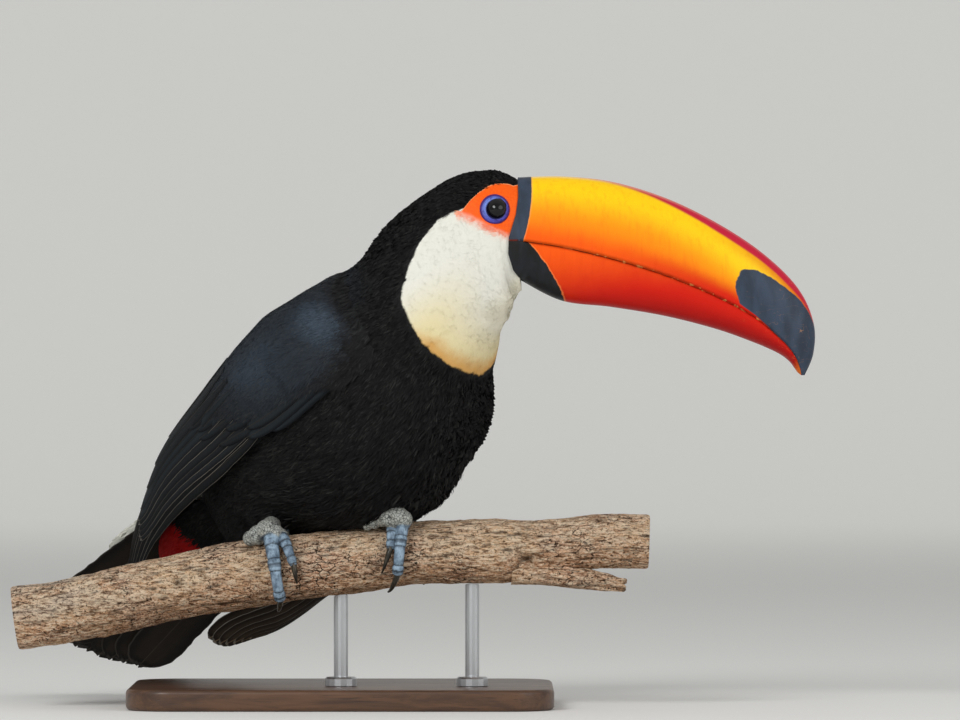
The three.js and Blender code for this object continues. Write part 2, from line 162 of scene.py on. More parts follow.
def paint(red, green, blue):
    parts = (c / 255 for c in (red, green, blue))
    return tuple(((c + 0.055) / 1.055) ** 2.4 if c > 0.04 else c / 12.92 for c in parts) + (1.0,)


class Value:
    def __init__(self, finish, socket):
        self.finish = finish
        self.socket = socket

    def math(self, operation, *others, before=None):
        values = ([] if before is None else [before]) + [self] + list(others)
        return self.finish.node("ShaderNodeMath", {"operation": operation}, dict(enumerate(values)))

    def __add__(self, other):
        return self.math("ADD", other)

    def __sub__(self, other):
        return self.math("SUBTRACT", other)

    def __rsub__(self, other):
        return self.math("SUBTRACT", before=other)

    def __mul__(self, other):
        return self.math("MULTIPLY", other)

    __radd__ = __add__
    __rmul__ = __mul__

    def most(self, other):
        return self.math("MAXIMUM", other)

    def least(self, other):
        return self.math("MINIMUM", other)

    def size(self):
        return self.math("ABSOLUTE")

    def wave(self):
        return self.math("SINE")

    # rises smoothly from 0 at low to 1 at high
    def between(self, low, high):
        return self.finish.node(
            "ShaderNodeMapRange", {"interpolation_type": "SMOOTHSTEP"}, {0: self, 1: low, 2: high}
        )

    def part(self, axis):
        return self.finish.node("ShaderNodeSeparateXYZ", {}, {0: self}, "XYZ".index(axis))

    def stretch(self, *factors):
        return self.finish.node("ShaderNodeVectorMath", {"operation": "MULTIPLY"}, {0: self, 1: factors})


class Finish:
    def __init__(self, name, **constants):
        self.material = bpy.data.materials.new(name)
        self.material.use_nodes = True
        self.tree = self.material.node_tree
        self.shader = self.tree.nodes["Principled BSDF"]
        self.set(**constants)

    # sets the shader's sockets: plain values directly, worked-out ones by a link
    def set(self, **sockets):
        for key, value in sockets.items():
            self.put(self.shader.inputs[key.replace("_", " ")], value)

    def put(self, socket, value):
        if isinstance(value, Value):
            self.tree.links.new(value.socket, socket)
        else:
            socket.default_value = value

    def node(self, kind, settings, inputs, output=0):
        made = self.tree.nodes.new(kind)
        for key, value in settings.items():
            setattr(made, key, value)
        for key, value in inputs.items():
            self.put(made.inputs[key], value)
        return Value(self, made.outputs[output])

    def place(self):
        return self.node("ShaderNodeTexCoord", {}, {}, "Object")

    def read(self, name):
        return self.node("ShaderNodeAttribute", {"attribute_name": name}, {}, "Fac")

    def readVector(self, name):
        return self.node("ShaderNodeAttribute", {"attribute_name": name}, {}, "Vector")

    def noise(self, place, scale, detail=2.0, roughness=0.5, distortion=0.0):
        return self.node("ShaderNodeTexNoise", {}, {
            "Vector": place, "Scale": scale, "Detail": detail, "Roughness": roughness,
            "Distortion": distortion,
        })

    def cells(self, place, scale, output=0, **settings):
        return self.node("ShaderNodeTexVoronoi", settings, {"Vector": place, "Scale": scale}, output)

    def blend(self, share, colour, other):
        return self.node("ShaderNodeMix", {"data_type": "RGBA"}, {0: share, 6: colour, 7: other}, 2)

    # lays tints over a colour one after another, each as far as its share says
    def layers(self, colour, *coats):
        for share, tint in coats:
            colour = self.blend(share, colour, tint)
        return colour

    def bump(self, height, distance, strength=1.0):
        self.set(Normal=self.node("ShaderNodeBump", {}, {
            "Strength": strength, "Distance": distance, "Height": height,
        }))


# the body's form, as the solids have it

spine = [  # centre, heading, roll, half width, reach to the back and to the belly
    ([-62, 46, 97], 52, 22, 20, 14, 14),
    ([-48, 35, 111], 52, 20, 42, 36, 32),
    ([-29, 19, 133], 50, 15, 57, 51, 52),
    ([-9, 3, 155], 47, 9, 63, 58, 72),
    ([10, -14, 180], 43, 4, 66, 59, 80),
    ([27, -29, 204], 38, 1, 62, 53.5, 71),
    ([41, -41, 223], 30, 0, 51, 42.5, 56),
    ([53, -50, 239], 20, 0, 39, 40, 47),
    ([66, -57, 251], 10, 0, 30, 43, 43),
    ([79, -60, 258], 2, 0, 27, 45, 42),
    ([90, -60, 260.5], 0, 0, 25, 41, 37),
    ([100, -60, 260.5], 0, 0, 21.5, 37.8, 26),
]
wingStations = [
    ([-109, 80, 50], 52, 25, 27, 18, 22),
    ([-94, 68, 68], 52, 25, 33, 24, 28),
    ([-77, 53, 92], 52, 23, 44.5, 37, 35),
    ([-54, 35, 116], 52, 18, 55.5, 49.5, 48),
    ([-26, 15, 142], 50, 12, 63, 56.5, 61),
    ([-1, -5, 168], 46, 7, 66, 60.5, 78),
    ([20, -23, 196], 41, 3, 65, 56.5, 76),
    ([36, -37, 218], 34, 0, 55, 44, 62),
]
thighs = [([-37, -14, 112], [18, 15, 15]), ([31, -25, 118], [17, 14, 15])]
body = Form(spine)
wrap = Form(wingStations)

branch = {
    "y": -28.0, "from": -184.0, "to": 174.0, "radius": 18.8, "endRadius": 15.4, "limits": (20.4, 17.0),
    "thinFrom": 85, "thinOver": 50, "rings": 380, "sides": 128,
    "line": [
        [-193, 48.8], [-159, 53.9], [-125, 60.9], [-91.5, 68], [-57, 74], [-23, 79.2],
        [11, 83.7], [45, 87], [78, 87.7], [101, 88.6], [124, 91.2], [147, 93.8], [181, 93.2],
    ],
}
branchFine = track(branch["line"], np.linspace(0, len(branch["line"]) - 1, 400))


def branchHeight(x):
    return np.interp(x, branchFine[:, 0], branchFine[:, 1])


# moves points that lie inside the branch up to its bark
def clearBranch(points, clearance=0.6):
    height = branchHeight(points[..., 0])
    away = np.stack([0 * height, points[..., 1] - branch["y"], points[..., 2] - height], -1)
    reach = np.linalg.norm(away, axis=-1, keepdims=True)
    least = branch["radius"] + clearance
    pushed = np.where(reach < least, away * (least / np.maximum(reach, 1e-6) - 1.0), 0.0)
    return points + pushed


# how much fuller, or below 0 leaner, the outline is than the plain sections: along the throat, the
# breast and the belly, down the nape and over the crown
fullness = {
    "heights": [98, 108, 113, 119, 127, 135, 143, 151, 157, 163, 171, 175, 181, 190, 200, 209, 213, 217,
                219.5, 223, 227, 230.5, 234, 238, 246],
    "amounts": [0, 5.0, 6.4, 4.6, 2.0, 0.6, 2.0, 4.4, 5.4, 5.4, 4.3, 3.6, 2.3, 0.3, 0.7, 1.4, 1.9, 1.5,
                0.2, 1.8, 3.8, 4.2, 2.4, 1.6, 0],
    "reach": 34.0,
    "napeHeights": [232, 236, 243, 247, 251, 256, 260, 263, 267, 270, 273, 277, 280, 283, 288, 293, 297,
                    300, 303],
    "napeAmounts": [0, -2.0, -2.4, -1.0, 0.2, 1.8, 2.8, 3.4, 3.6, 3.8, 3.2, 2.2, 1.0, -0.4, -1.8, -3.2,
                    -3.4, -4.0, -3.0],
    "napeReach": 26.0,
    "crownPlaces": [76, 80, 83, 86.5, 90, 93.5, 97, 100],
    "crownAmounts": [0, 0.7, 1.6, 1.7, 1.1, 0, -1.1, 0],
}
ringSteps, ringAngles = np.meshgrid(
    np.linspace(1, 10.6, 300), np.linspace(-math.pi, math.pi, 121), indexing="ij"
)
ringPoints = body.point(ringSteps, ringAngles).reshape(-1, 3)
frontHeights = np.arange(96, 250, 2.0)
napeHeights = np.arange(232, 304, 2.0)


# the body's points in a thin slice at a height, as their reach along x
def slicedAt(z):
    return ringPoints[np.abs(ringPoints[:, 2] - z) < 1.5, 0]


frontReach = [slicedAt(z).max() for z in frontHeights]
napeReach = [slicedAt(z).min() for z in napeHeights]


def fillOut(points, grow):
    x, z = points[..., 0], points[..., 2]
    behind = np.interp(z, frontHeights, frontReach) - x
    standing = smooth(1 + np.asarray(grow) / 1.4)
    share = smooth(1 - behind / fullness["reach"]) * standing
    amount = np.interp(z, fullness["napeHeights"], fullness["napeAmounts"])
    nape = smooth(1 - (x - np.interp(z, napeHeights, napeReach)) / fullness["napeReach"])
    nape = nape * amount * np.where(amount > 0, standing, 1.0)
    crown = np.interp(x, fullness["crownPlaces"], fullness["crownAmounts"]) * smooth((z - 288) / 8)
    points[..., 2] += crown * np.where(crown > 0, standing, 1.0)
    points[..., 0] += np.interp(z, fullness["heights"], fullness["amounts"]) * share - nape
    return points


# the outline of trunk, neck, head and thighs
def bodySurface(step, angle, grow=0.0):
    points = body.point(step, angle, grow)
    centre = track(body.centres, step)
    reach = np.linalg.norm(points - centre, axis=-1)
    ray = (points - centre) / np.maximum(reach, 1e-6)[..., None]
    for middle, radii in thighs:
        radii = np.array(radii, float)
        start = (centre - middle) / radii
        slope = ray / radii
        a = (slope ** 2).sum(-1)
        b = (start * slope).sum(-1)
        c = (start ** 2).sum(-1) - 1
        inside = b * b - a * c
        far = np.where(inside > 0, (-b + np.sqrt(np.maximum(inside, 0))) / a, 0.0)
        reach = np.maximum(reach, far + grow - 0.5)
    return clearBranch(fillOut(centre + ray * reach[..., None], grow))


# half the head's width at a place seen from the side
headSteps = np.linspace(8, 11, 60)
headRows = track(body.centres, headSteps)
headSizes = track(body.sizes, headSteps)


def cheek(x, z):
    half, back, belly = (np.interp(x, headRows[:, 0], headSizes[:, k]) for k in range(3))
    rise = z - np.interp(x, headRows[:, 0], headRows[:, 2])
    share = rise / np.where(rise > 0, back, belly)
    return half * np.sqrt(np.maximum(1 - share ** 2, 0.0))


# markings: distances in millimetres into a marked area for the bib and the bare face, shares from
# 0 to 1 for the rest

face = {
    "top": [[68, 72.6, 77.5, 82.4, 87.4, 94.8, 100], [279.2, 285.4, 290.0, 292.8, 294.2, 295.2, 294.6]],
    "low": [[66, 68, 72, 76, 80, 86, 94, 100], [279.4, 278.6, 277.2, 275.3, 273.0, 269.6, 266.4, 265.0]],
    "front": [[237, 246, 255, 264, 277, 287, 298], [104, 96.9, 94.1, 94.4, 98.4, 99.8, 99.6]],
}
eye = {
    "x": 87.4, "z": 280.0, "out": 18.0, "radius": 6.6, "lid": 5.3, "ring": 8.3, "bulge": 0.35,
    "rings": 60, "sides": 120, "ballSides": 64, "litFrom": 2.2,
}
bibAngles = [57, 65, 76, 94, 110, 126, 147, 168, 180]
bibSteps = [8.4, 7.86, 7.42, 6.84, 6.61, 6.38, 6.24, 6.15, 6.1]


def markings(step, angle, points):
    turn = np.degrees(np.abs(angle))
    x, z = points[..., 0], points[..., 2]
    lower = (step - np.interp(turn, bibAngles, bibSteps)) * 15.0 - 0.3
    bib = np.minimum(lower, (turn - bibAngles[0]) * 0.5)
    low = z - np.interp(x, *face["low"])
    top = np.where((x < 67.0) | (step < 8), -6.0, np.interp(x, *face["top"]) - z)
    rump = smooth((1.2 - step) / 0.4) * smooth((52 - turn) / 12)
    middle = 0.3 * smooth((turn - 118) / 30)
    cream = np.maximum(smooth((38 - lower) / 38) * smooth((turn - 84) / 42), middle)
    # painted slate sheen over the back, where light falls from above
    mantleSheen = 0.4 * smooth((95 - turn) / 50) * smooth((6.9 - step) / 1.5)
    return {
        "bib": bib, "bibLow": lower + np.maximum(0.0, 132.0 - turn) * 0.3, "cream": cream,
        "bare": top, "bareLow": low, "rump": rump, "vent": 0.0 * step, "mantleSheen": mantleSheen,
    }


# how far a place lies inside the bare face
def bareFace(marks):
    return np.minimum(marks["bare"], marks["bareLow"])


# how deep the skin lies under the outline
def coatDepth(step, marks):
    depth = mix(2.6, 1.5, smooth((step - 6.3) / 1.6))
    depth = mix(depth, 0.45, smooth((marks["bib"] + 3.0) / 3.6))
    return mix(depth, 0.25, smooth(bareFace(marks) / 1.8 + 0.7))


plumage = {
    # brown: the colour of painted highlight flecks on the black plumage
    # slate: the colour of painted sheen on the black plumage
    "black": paint(14, 13, 14), "slate": paint(70, 84, 99), "brown": paint(48, 49, 47),
    "white": paint(230, 230, 220), "cream": paint(229, 216, 166), "tan": paint(212, 156, 76),
    "red": paint(186, 10, 7), "skin": paint(248, 98, 14), "deep": paint(234, 68, 18),
    "rim": paint(255, 176, 120), "pink": paint(246, 176, 150), "line": paint(60, 26, 14),
}


def plumageFinish():
    made = Finish("plumage", Specular_IOR_Level=0.16)
    strand = made.read("strand")
    along = made.read("along")
    place = made.place()
    wander = made.noise(place, 260.0, 3.0) - 0.5
    fine = made.noise(place, 1500.0, 2.0)
    soft = made.noise(place, 800.0, 3.0, 0.6)
    bib = made.read("bib") + wander * 1.2
    bibLow = made.read("bibLow") + wander * 3.0
    # painted sheen: the black turns slate over the back and the wings
    black = made.blend(made.read("mantleSheen") * (0.5 + strand * 0.5), plumage["black"], plumage["slate"])
    # grey flecks on random strands: painted highlights on the black plumage
    black = made.blend(strand.between(0.5, 1.0) * 0.6, black, plumage["brown"])
    bare, bareLow = made.read("bare"), made.read("bareLow") + wander * 1.6
    white = made.layers(
        plumage["white"],
        (made.read("cream"), plumage["cream"]),
        (bibLow.between(7.5, 0.2) * 0.86, plumage["tan"]),
        (strand * 0.03, plumage["tan"]),
        (bareLow.between(-6.0, -0.5) * bare.between(-0.6, 0.0) * 0.6, plumage["pink"]),
    )
    colour = made.layers(
        black,
        (bib.between(-0.3, 0.5), white),
        (made.read("rump").between(0.4, 0.6), plumage["white"]),
        (made.read("vent").between(0.4, 0.6), plumage["red"]),
        # the roots of the black tufts darkened: painted shade where the tufts overlap
        (along.between(0.4, 0.0) * bib.between(0.5, -0.5) * 0.3, plumage["black"]),
    )
    skin = made.layers(
        plumage["skin"],
        (soft.between(0.35, 0.8) * 0.5, plumage["deep"]),
        (bare.between(1.1, 0.3) * 0.85, plumage["rim"]),
        (bare.between(0.32, 0.12), plumage["line"]),
    )
    shown = bare.between(-0.1, 0.1) * bareLow.between(-3.4, 1.6)
    made.set(Base_Color=made.blend(shown, colour, skin), Roughness=0.68 - shown * 0.24)
    made.bump(fine * (1.0 - shown) * 0.3 + soft * shown, 0.0004, 0.5)
    return made.material


plumageMaterial = plumageFinish()
print("plumage finish made")


# one skin under the coat, from the vent to the bill

skinMesh = {"neckStep": 7, "lastStep": 11, "trunkRings": 60, "neckRings": 130, "around": 221, "socket": 5.0}


def addSkin():
    neckStep, lastStep = skinMesh["neckStep"], skinMesh["lastStep"]
    steps = np.concatenate([
        np.linspace(0, neckStep, skinMesh["trunkRings"], endpoint=False),
        np.linspace(neckStep, lastStep, skinMesh["neckRings"]),
    ])
    angles = np.linspace(-math.pi, math.pi, skinMesh["around"])
    step, angle = np.meshgrid(steps, angles, indexing="ij")
    marks = markings(step, angle, body.point(step, angle))
    depth = coatDepth(step, marks)
    points = bodySurface(step, angle, -depth)
    # the socket that each eye sits in
    away = np.hypot(points[..., 0] - eye["x"], points[..., 2] - eye["z"])
    sunk = skinMesh["socket"] * smooth((eye["ring"] - away) / 3.0) * (step > 8)
    points[..., 1] -= np.sign(points[..., 1] - headPlane) * sunk
    rows, columns = step.shape
    caps = [points[0].mean(0), points[-1].mean(0)]
    faces = [gridFaces(rows, columns)[:, ::-1], endFaces(rows, columns, closed=False)]
    extend = {k: np.append(v.ravel(), [v[0, 0], v[-1, 0]]) for k, v in marks.items()}
    extend["strand"] = np.full(rows * columns + 2, 0.3)
    extend["along"] = np.full(rows * columns + 2, 0.6)
    patch = np.stack([step / lastStep, (angle / math.pi + 1) / 2], -1).reshape(-1, 2) * 0.98 + 0.01
    patch = np.vstack([patch, [[0.0, 0.5], [1.0, 0.5]]])
    points = np.vstack([points.reshape(-1, 3), caps])
    return addMesh(
        "skin", points, faces, plumageMaterial, extend, patch,
        ("trunk", "neck", "head", "thigh_right", "thigh_left"),
    )


addSkin()
print("skin made")


# tufts of small feathers, each a fan of thin slivers that lie along the body

sliverRings = np.array([0.0, 0.4, 0.8])
sliverWidths = (0.55, 1.0, 0.7, 0.0)      # at each ring and at the tip


# surface(step, angle, grow) is what the tufts lie on; they point towards falling steps
def growTufts(name, surface, step, angle, look, values, extent, follow=None):
    count = len(step)
    strips = look["slivers"]
    root = surface(step, angle, 0.0)
    perStep = np.linalg.norm(surface(step + 0.02, angle, 0.0) - root, axis=-1) / 0.02
    perTurn = np.linalg.norm(surface(step, angle + 0.02, 0.0) - root, axis=-1) / 0.02
    spread = np.linspace(-1, 1, strips)[None, :]
    turn = spread * look["fan"] + chance.normal(0, 0.05, (count, strips)) + look["sweep"][:, None]
    length = look["length"][:, None] * (1 - 0.22 * spread ** 2) * chance.uniform(0.78, 1.08, (count, strips))
    half = look["width"][:, None] / 2 * chance.uniform(0.75, 1.15, (count, strips))
    start = spread * look["width"][:, None] * strips * 0.22
    tilt = chance.normal(0, 0.14, (count, strips)) * look["tilt"][:, None]
    pressed = np.minimum(look["tilt"], 1)[:, None] * chance.uniform(0, 0.45, (count, strips))
    rise = look["rise"][:, None] * (1 - pressed)
    lift = look["lift"][:, None] * chance.uniform(0.2, 1.0, (count, strips))
    stepAt, angleAt, growAt = [], [], []
    ends = [(v, side) for v in sliverRings for side in (-1, 1)] + [(1.0, 0)]
    for v, side in ends:
        thick = half * sliverWidths[int(round(v * 2.5))] * side
        run = length * v
        stepAt.append(step[:, None] - (np.cos(turn) * run - np.sin(turn) * thick) / perStep[:, None])
        around = start + np.sin(turn) * run + np.cos(turn) * thick
        angleAt.append(angle[:, None] + around / perTurn[:, None])
        bow = rise * (1 - (1 - v) ** 2) - rise * 0.35 * v ** 3
        growAt.append(bow - look["depth"][:, None] - 0.25 * (v == 0) + tilt * side * (v > 0) + lift * v ** 2)
    stacked = [np.stack(a, -1) for a in (stepAt, angleAt, growAt)]
    points = surface(*stacked).reshape(-1, 3)
    if follow:
        own = (mix(start[:, None, None], place, 0.72) for start, place in zip((step, angle), stacked))
        values = dict(values, **follow(*own))
    each = len(ends)
    quads = repeatFaces([[0, 1, 3, 2], [2, 3, 5, 4]], count * strips, each)
    tips = repeatFaces([[4, 5, 6]], count * strips, each)
    carried = {k: v.ravel() if v.ndim > 1 else np.repeat(v, strips * each) for k, v in values.items()}
    shade = chance.uniform(0, 1, (count, 1)) * 0.6 + chance.uniform(0, 1, (count, strips)) * 0.4
    carried["strand"] = np.repeat(shade.ravel(), each)
    carried["along"] = np.tile([v for v, side in ends], count * strips)
    low, high = extent
    middle = np.stack([(step - low[0]) / (high[0] - low[0]), (angle - low[1]) / (high[1] - low[1])], -1)
    middle = 0.01 + 0.98 * np.clip(middle, 0, 1)
    within = np.array([[(side + 1) / 2, v] for v, side in ends]) - 0.5
    within = within[None, None] * [0.8 / strips, 1.0] + np.stack([spread, 0 * spread], -1)[:, :, None] * 0.45
    patch = middle[:, None, None] + 0.003 * within
    addMesh(name, points, [quads, tips], plumageMaterial, carried, patch)
    print(name, len(quads) * 2 + len(tips), "triangles")


# places spread evenly over a surface
def scatter(surface, low, high, count):
    step = chance.uniform(low[0], high[0], count * 3)
    angle = chance.uniform(low[1], high[1], count * 3)
    root = surface(step, angle, 0.0)
    along = surface(step + 0.02, angle, 0.0) - root
    around = surface(step, angle + 0.02, 0.0) - root
    area = np.linalg.norm(np.cross(along, around), axis=-1)
    keep = chance.uniform(0, np.percentile(area, 98), len(area)) < area
    return step[keep][:count], angle[keep][:count]


# the solids that hide part of the body
def solidTree(*nodes):
    points, faces = [], []
    for node in nodes:
        mesh = bpy.data.objects[node].data
        start = len(points)
        points += [Vector(v.co) for v in mesh.vertices]
        faces += [[start + n for n in p.vertices] for p in mesh.polygons]
    return BVHTree.FromPolygons(points, faces)


# how far places lie under the solids, in millimetres, 0 where they are outside
def buried(tree, points, outward):
    under = np.zeros(len(points))
    for k, (point, ray) in enumerate(zip(points * metre, outward)):
        hit = tree.ray_cast(Vector(point), Vector(ray))
        if hit[0] is not None and hit[1].dot(Vector(ray)) > 0:
            under[k] = hit[3] / metre
    return under


# the bib's edge runs across the slivers
def bibMarks(step, angle):
    marks = markings(step, angle, np.zeros(step.shape + (3,)))
    return {key: marks[key] for key in ("bib", "bibLow", "cream")}


coat = {
    "tufts": 21000, "slivers": 8,
    "lengths": [15, 14, 12, 11.5, 10.5, 9.5, 8, 7, 6, 5.2, 4.4, 3.6],   # by step
    "widths": [0.85, 0.85, 0.8, 0.8, 0.75, 0.7, 0.6, 0.55, 0.48, 0.42, 0.36, 0.3],
    "spare": 3, "keptLength": 4.2, "keptPower": 1.3, "ruffle": 3.2,
}


# name, first and last step, first and last angle in degrees, past the ends where nothing follows
coatPieces = [
    ("belly_coat", -1, 3.2, 100, 181), ("flank_coat", -1, 3.2, -1, 100),
    ("breast_coat", 3.2, 6.3, 100, 181), ("back_coat", 3.2, 6.3, -1, 100),
    ("neck_coat", 6.3, 8.3, -1, 90), ("throat_coat", 6.3, 8.3, 90, 181),
    ("crown_coat", 8.3, 12, -1, 60), ("cheek_coat", 8.3, 12, 60, 181),
]


def addCoat():
    low, high = (-0.1, -math.pi), (10.9, math.pi)
    step, angle = scatter(bodySurface, low, high, coat["tufts"] * coat["spare"])
    length = np.interp(step, np.arange(12), coat["lengths"])
    inBib = smooth(markings(step, angle, body.point(step, angle))["bib"] + 0.6)
    length = length * mix(1.0, 0.7, inBib)
    keep = chance.uniform(0, 1, len(step)) < (coat["keptLength"] / length) ** coat["keptPower"]
    step, angle, length, inBib = step[keep], angle[keep], length[keep], inBib[keep]
    root = bodySurface(step, angle)
    outward = unit(bodySurface(step, angle, 3.0) - root)
    wings = solidTree("wing_right", "wing_left", "tail_coverts_upper", "tail_coverts_under", "tail")
    marks = markings(step, angle, root)
    away = np.hypot(root[:, 0] - eye["x"], root[:, 2] - eye["z"])
    least = mix(1.5, 4.0, smooth((step - 5.8) / 0.6))
    free = (buried(wings, root, outward) <= least) & (bareFace(marks) < 0.0) & (away > eye["ring"] + 0.6)
    free &= root[:, 0] < np.interp(root[:, 2], *face["front"]) - 0.2
    step, angle, length, inBib = step[free], angle[free], length[free], inBib[free]
    marks = {k: v[free] for k, v in marks.items()}
    count = len(step)
    front = np.interp(root[free][:, 2], *face["front"])
    pressed = inBib * smooth((root[free][:, 0] - front + 18) / 10)
    turn = np.degrees(np.abs(angle))
    fluffy = smooth((turn - 120) / 40) * smooth((5.0 - step) / 1.2) + smooth((1.4 - step) / 1.0) * 0.6
    depth = coatDepth(step, marks)
    flatLift = mix(0.25, 0.015, inBib) * (1 - pressed)
    look = {
        "slivers": coat["slivers"],
        "fan": 0.3,
        "sweep": chance.normal(0, 1, count) * mix(0.12, 0.05, inBib),
        "length": length * chance.uniform(0.85, 1.15, count) * (1 + 0.35 * fluffy),
        "width": np.interp(step, np.arange(12), coat["widths"]) * mix(1.0, 0.8, inBib),
        "depth": depth, "rise": depth * mix(0.95, 0.66, inBib) * (1 - 0.5 * pressed),
        "tilt": mix(1.0, 0.045, inBib) * (1 - 0.8 * pressed),
        "lift": flatLift + coat["ruffle"] * fluffy * chance.uniform(0, 1, count) ** 4,
    }
    for name, start, end, top, bottom in coatPieces:
        inside = (step >= start) & (step < end) & (turn >= top) & (turn < bottom)
        part = {k: (v[inside] if isinstance(v, np.ndarray) else v) for k, v in look.items()}
        values = {k: v[inside] for k, v in marks.items()}
        extent = ((step[inside].min(), angle[inside].min()), (step[inside].max(), angle[inside].max()))
        growTufts(name, bodySurface, step[inside], angle[inside], part, values, extent, bibMarks)


addCoat()
print("coat made")


# bill

bill = {
    "culmen": [[100.4, 298.4], [124, 299], [152, 296], [182, 287], [210, 273.5], [236, 256.5],
               [256, 237], [265.5, 217], [265.5, 200], [260.6, 187.5]],
    "mouth": [[100.4, 262.4], [124, 258.8], [152, 252.2], [182, 243], [210, 231.5], [232, 219.5],
              [247, 207], [254, 199], [257, 192.5], [258.6, 187.5]],
    "keel": [[100.4, 241], [124, 229.2], [152, 225.6], [182, 220.6], [210, 213.5], [230, 206.5],
             [244, 200.5], [251.5, 195.6], [254.6, 191.8], [256.4, 189.2]],
    "halfBase": 21.0, "halfTip": 2.2, "lowerShare": 0.94, "taper": 2.2,
    "teeth": 34, "tooth": 0.4, "rings": 264, "sides": 84, "hidden": -0.28, "hiddenRings": 12,
}
billTints = {
    "orange": paint(250, 92, 6), "amber": paint(252, 146, 8), "yellow": paint(254, 204, 14),
    # slate: the colour of painted sheen on the bill's black parts
    "black": paint(28, 28, 27), "slate": paint(66, 80, 100), "crimson": paint(196, 30, 58),
    # rose and pale: colours of painted highlight on the culmen
    "rose": paint(238, 128, 128), "red": paint(212, 26, 4), "deep": paint(172, 5, 5),
    "pale": paint(252, 228, 160), "tip": paint(222, 110, 30), "chip": paint(254, 176, 96),
    # mouth: painted shade of the gap at the base of the mouth line
    "mouth": paint(110, 30, 10), "lips": paint(214, 64, 12),
}


# the share of the way from the mouth to the outer line, and its swell to each side
def mandible(outer, share, lower):
    rings, sides = bill["rings"], bill["sides"]
    last = len(bill["mouth"]) - 1
    behind = np.linspace(bill["hidden"], 0, bill["hiddenRings"], endpoint=False)
    t = np.concatenate([behind, np.linspace(0, last, rings)])
    mouthLine = track(bill["mouth"], np.maximum(t, 0), False)
    outerLine = track(outer, np.maximum(t, 0), False)
    back = np.minimum(t, 0)[:, None] * [24.0, 0.0]
    mouthLine, outerLine = mouthLine + back * [1, 1], outerLine + back
    far = np.maximum(t, 0) / last
    half = share * mix(bill["halfBase"], bill["halfTip"], far ** bill["taper"]) - 0.12
    mouthLine[:, 0] -= 0.35 * smooth((far - 0.9) / 0.1)
    outerLine[:, 0] -= 0.35 * smooth((far - 0.7) / 0.1)
    turn = np.linspace(0, 2 * math.pi, sides, endpoint=False)
    rise, across = np.sin(turn), np.cos(turn)
    lip, inside = (0.002, -0.05) if lower else (-0.002, 0.1)
    hidden = mix(inside, lip, np.sqrt(np.maximum(1 + rise, 0)))
    shown = mix(lip, 0.997, np.maximum(rise, 0) ** 1.06)
    height = np.where(rise > 0, shown, hidden)[None] + 0 * far[:, None]
    width = np.sign(across) * np.abs(across) ** 0.78
    width = width[None] * half[:, None]
    # low sharp teeth along the edge of the mouth, uneven in size
    phase = far * bill["teeth"] + (0.4 if lower else 0.0)
    uneven = 0.6 + 0.4 * np.sin(phase * 2.3) * np.sin(phase * 1.1 + 1)
    notch = (phase % 1.0) ** 2.0 * uneven * smooth((far - 0.06) / 0.06) * smooth((0.93 - far) / 0.1)
    span = np.linalg.norm(outerLine - mouthLine, axis=-1)
    edge = np.clip(1 - height / 0.12, 0, 1)
    height = height + edge * (notch * bill["tooth"] / np.maximum(span, 4.0))[:, None]
    place = mouthLine[:, None] + (outerLine - mouthLine)[:, None] * height[..., None]
    x, z = place[..., 0], place[..., 1]
    # the base flares round the cheeks and reaches back to the corner of the mouth
    low = np.interp(z, *face["front"])
    x = np.where(t[:, None] < 0.0, np.maximum(x, low), x)
    hug = cheek(np.minimum(x, 100.0), z) + 0.7
    flare = smooth((106.0 - x) / 6.0)
    side = np.sign(width)
    width = mix(width, side * np.maximum(np.abs(width), np.minimum(hug, np.abs(hug))),
                flare * (np.abs(width) > 0.35 * half[:, None]))
    points = np.stack([x, headPlane + width, z], -1)
    faces = [gridFaces(len(t), sides, closed=True), endFaces(len(t), sides)]
    hubs = np.stack([points[0].mean(0), points[-1].mean(0)])
    along = np.repeat(t / last, sides)
    values = {
        "along": np.append(along, [along[0], 1.0]),
        "height": np.append(height.ravel(), [0.5, 0.5]),
    }
    if lower:
        faces = [group[:, ::-1] for group in faces]
    return np.vstack([points.reshape(-1, 3), hubs]), faces, values


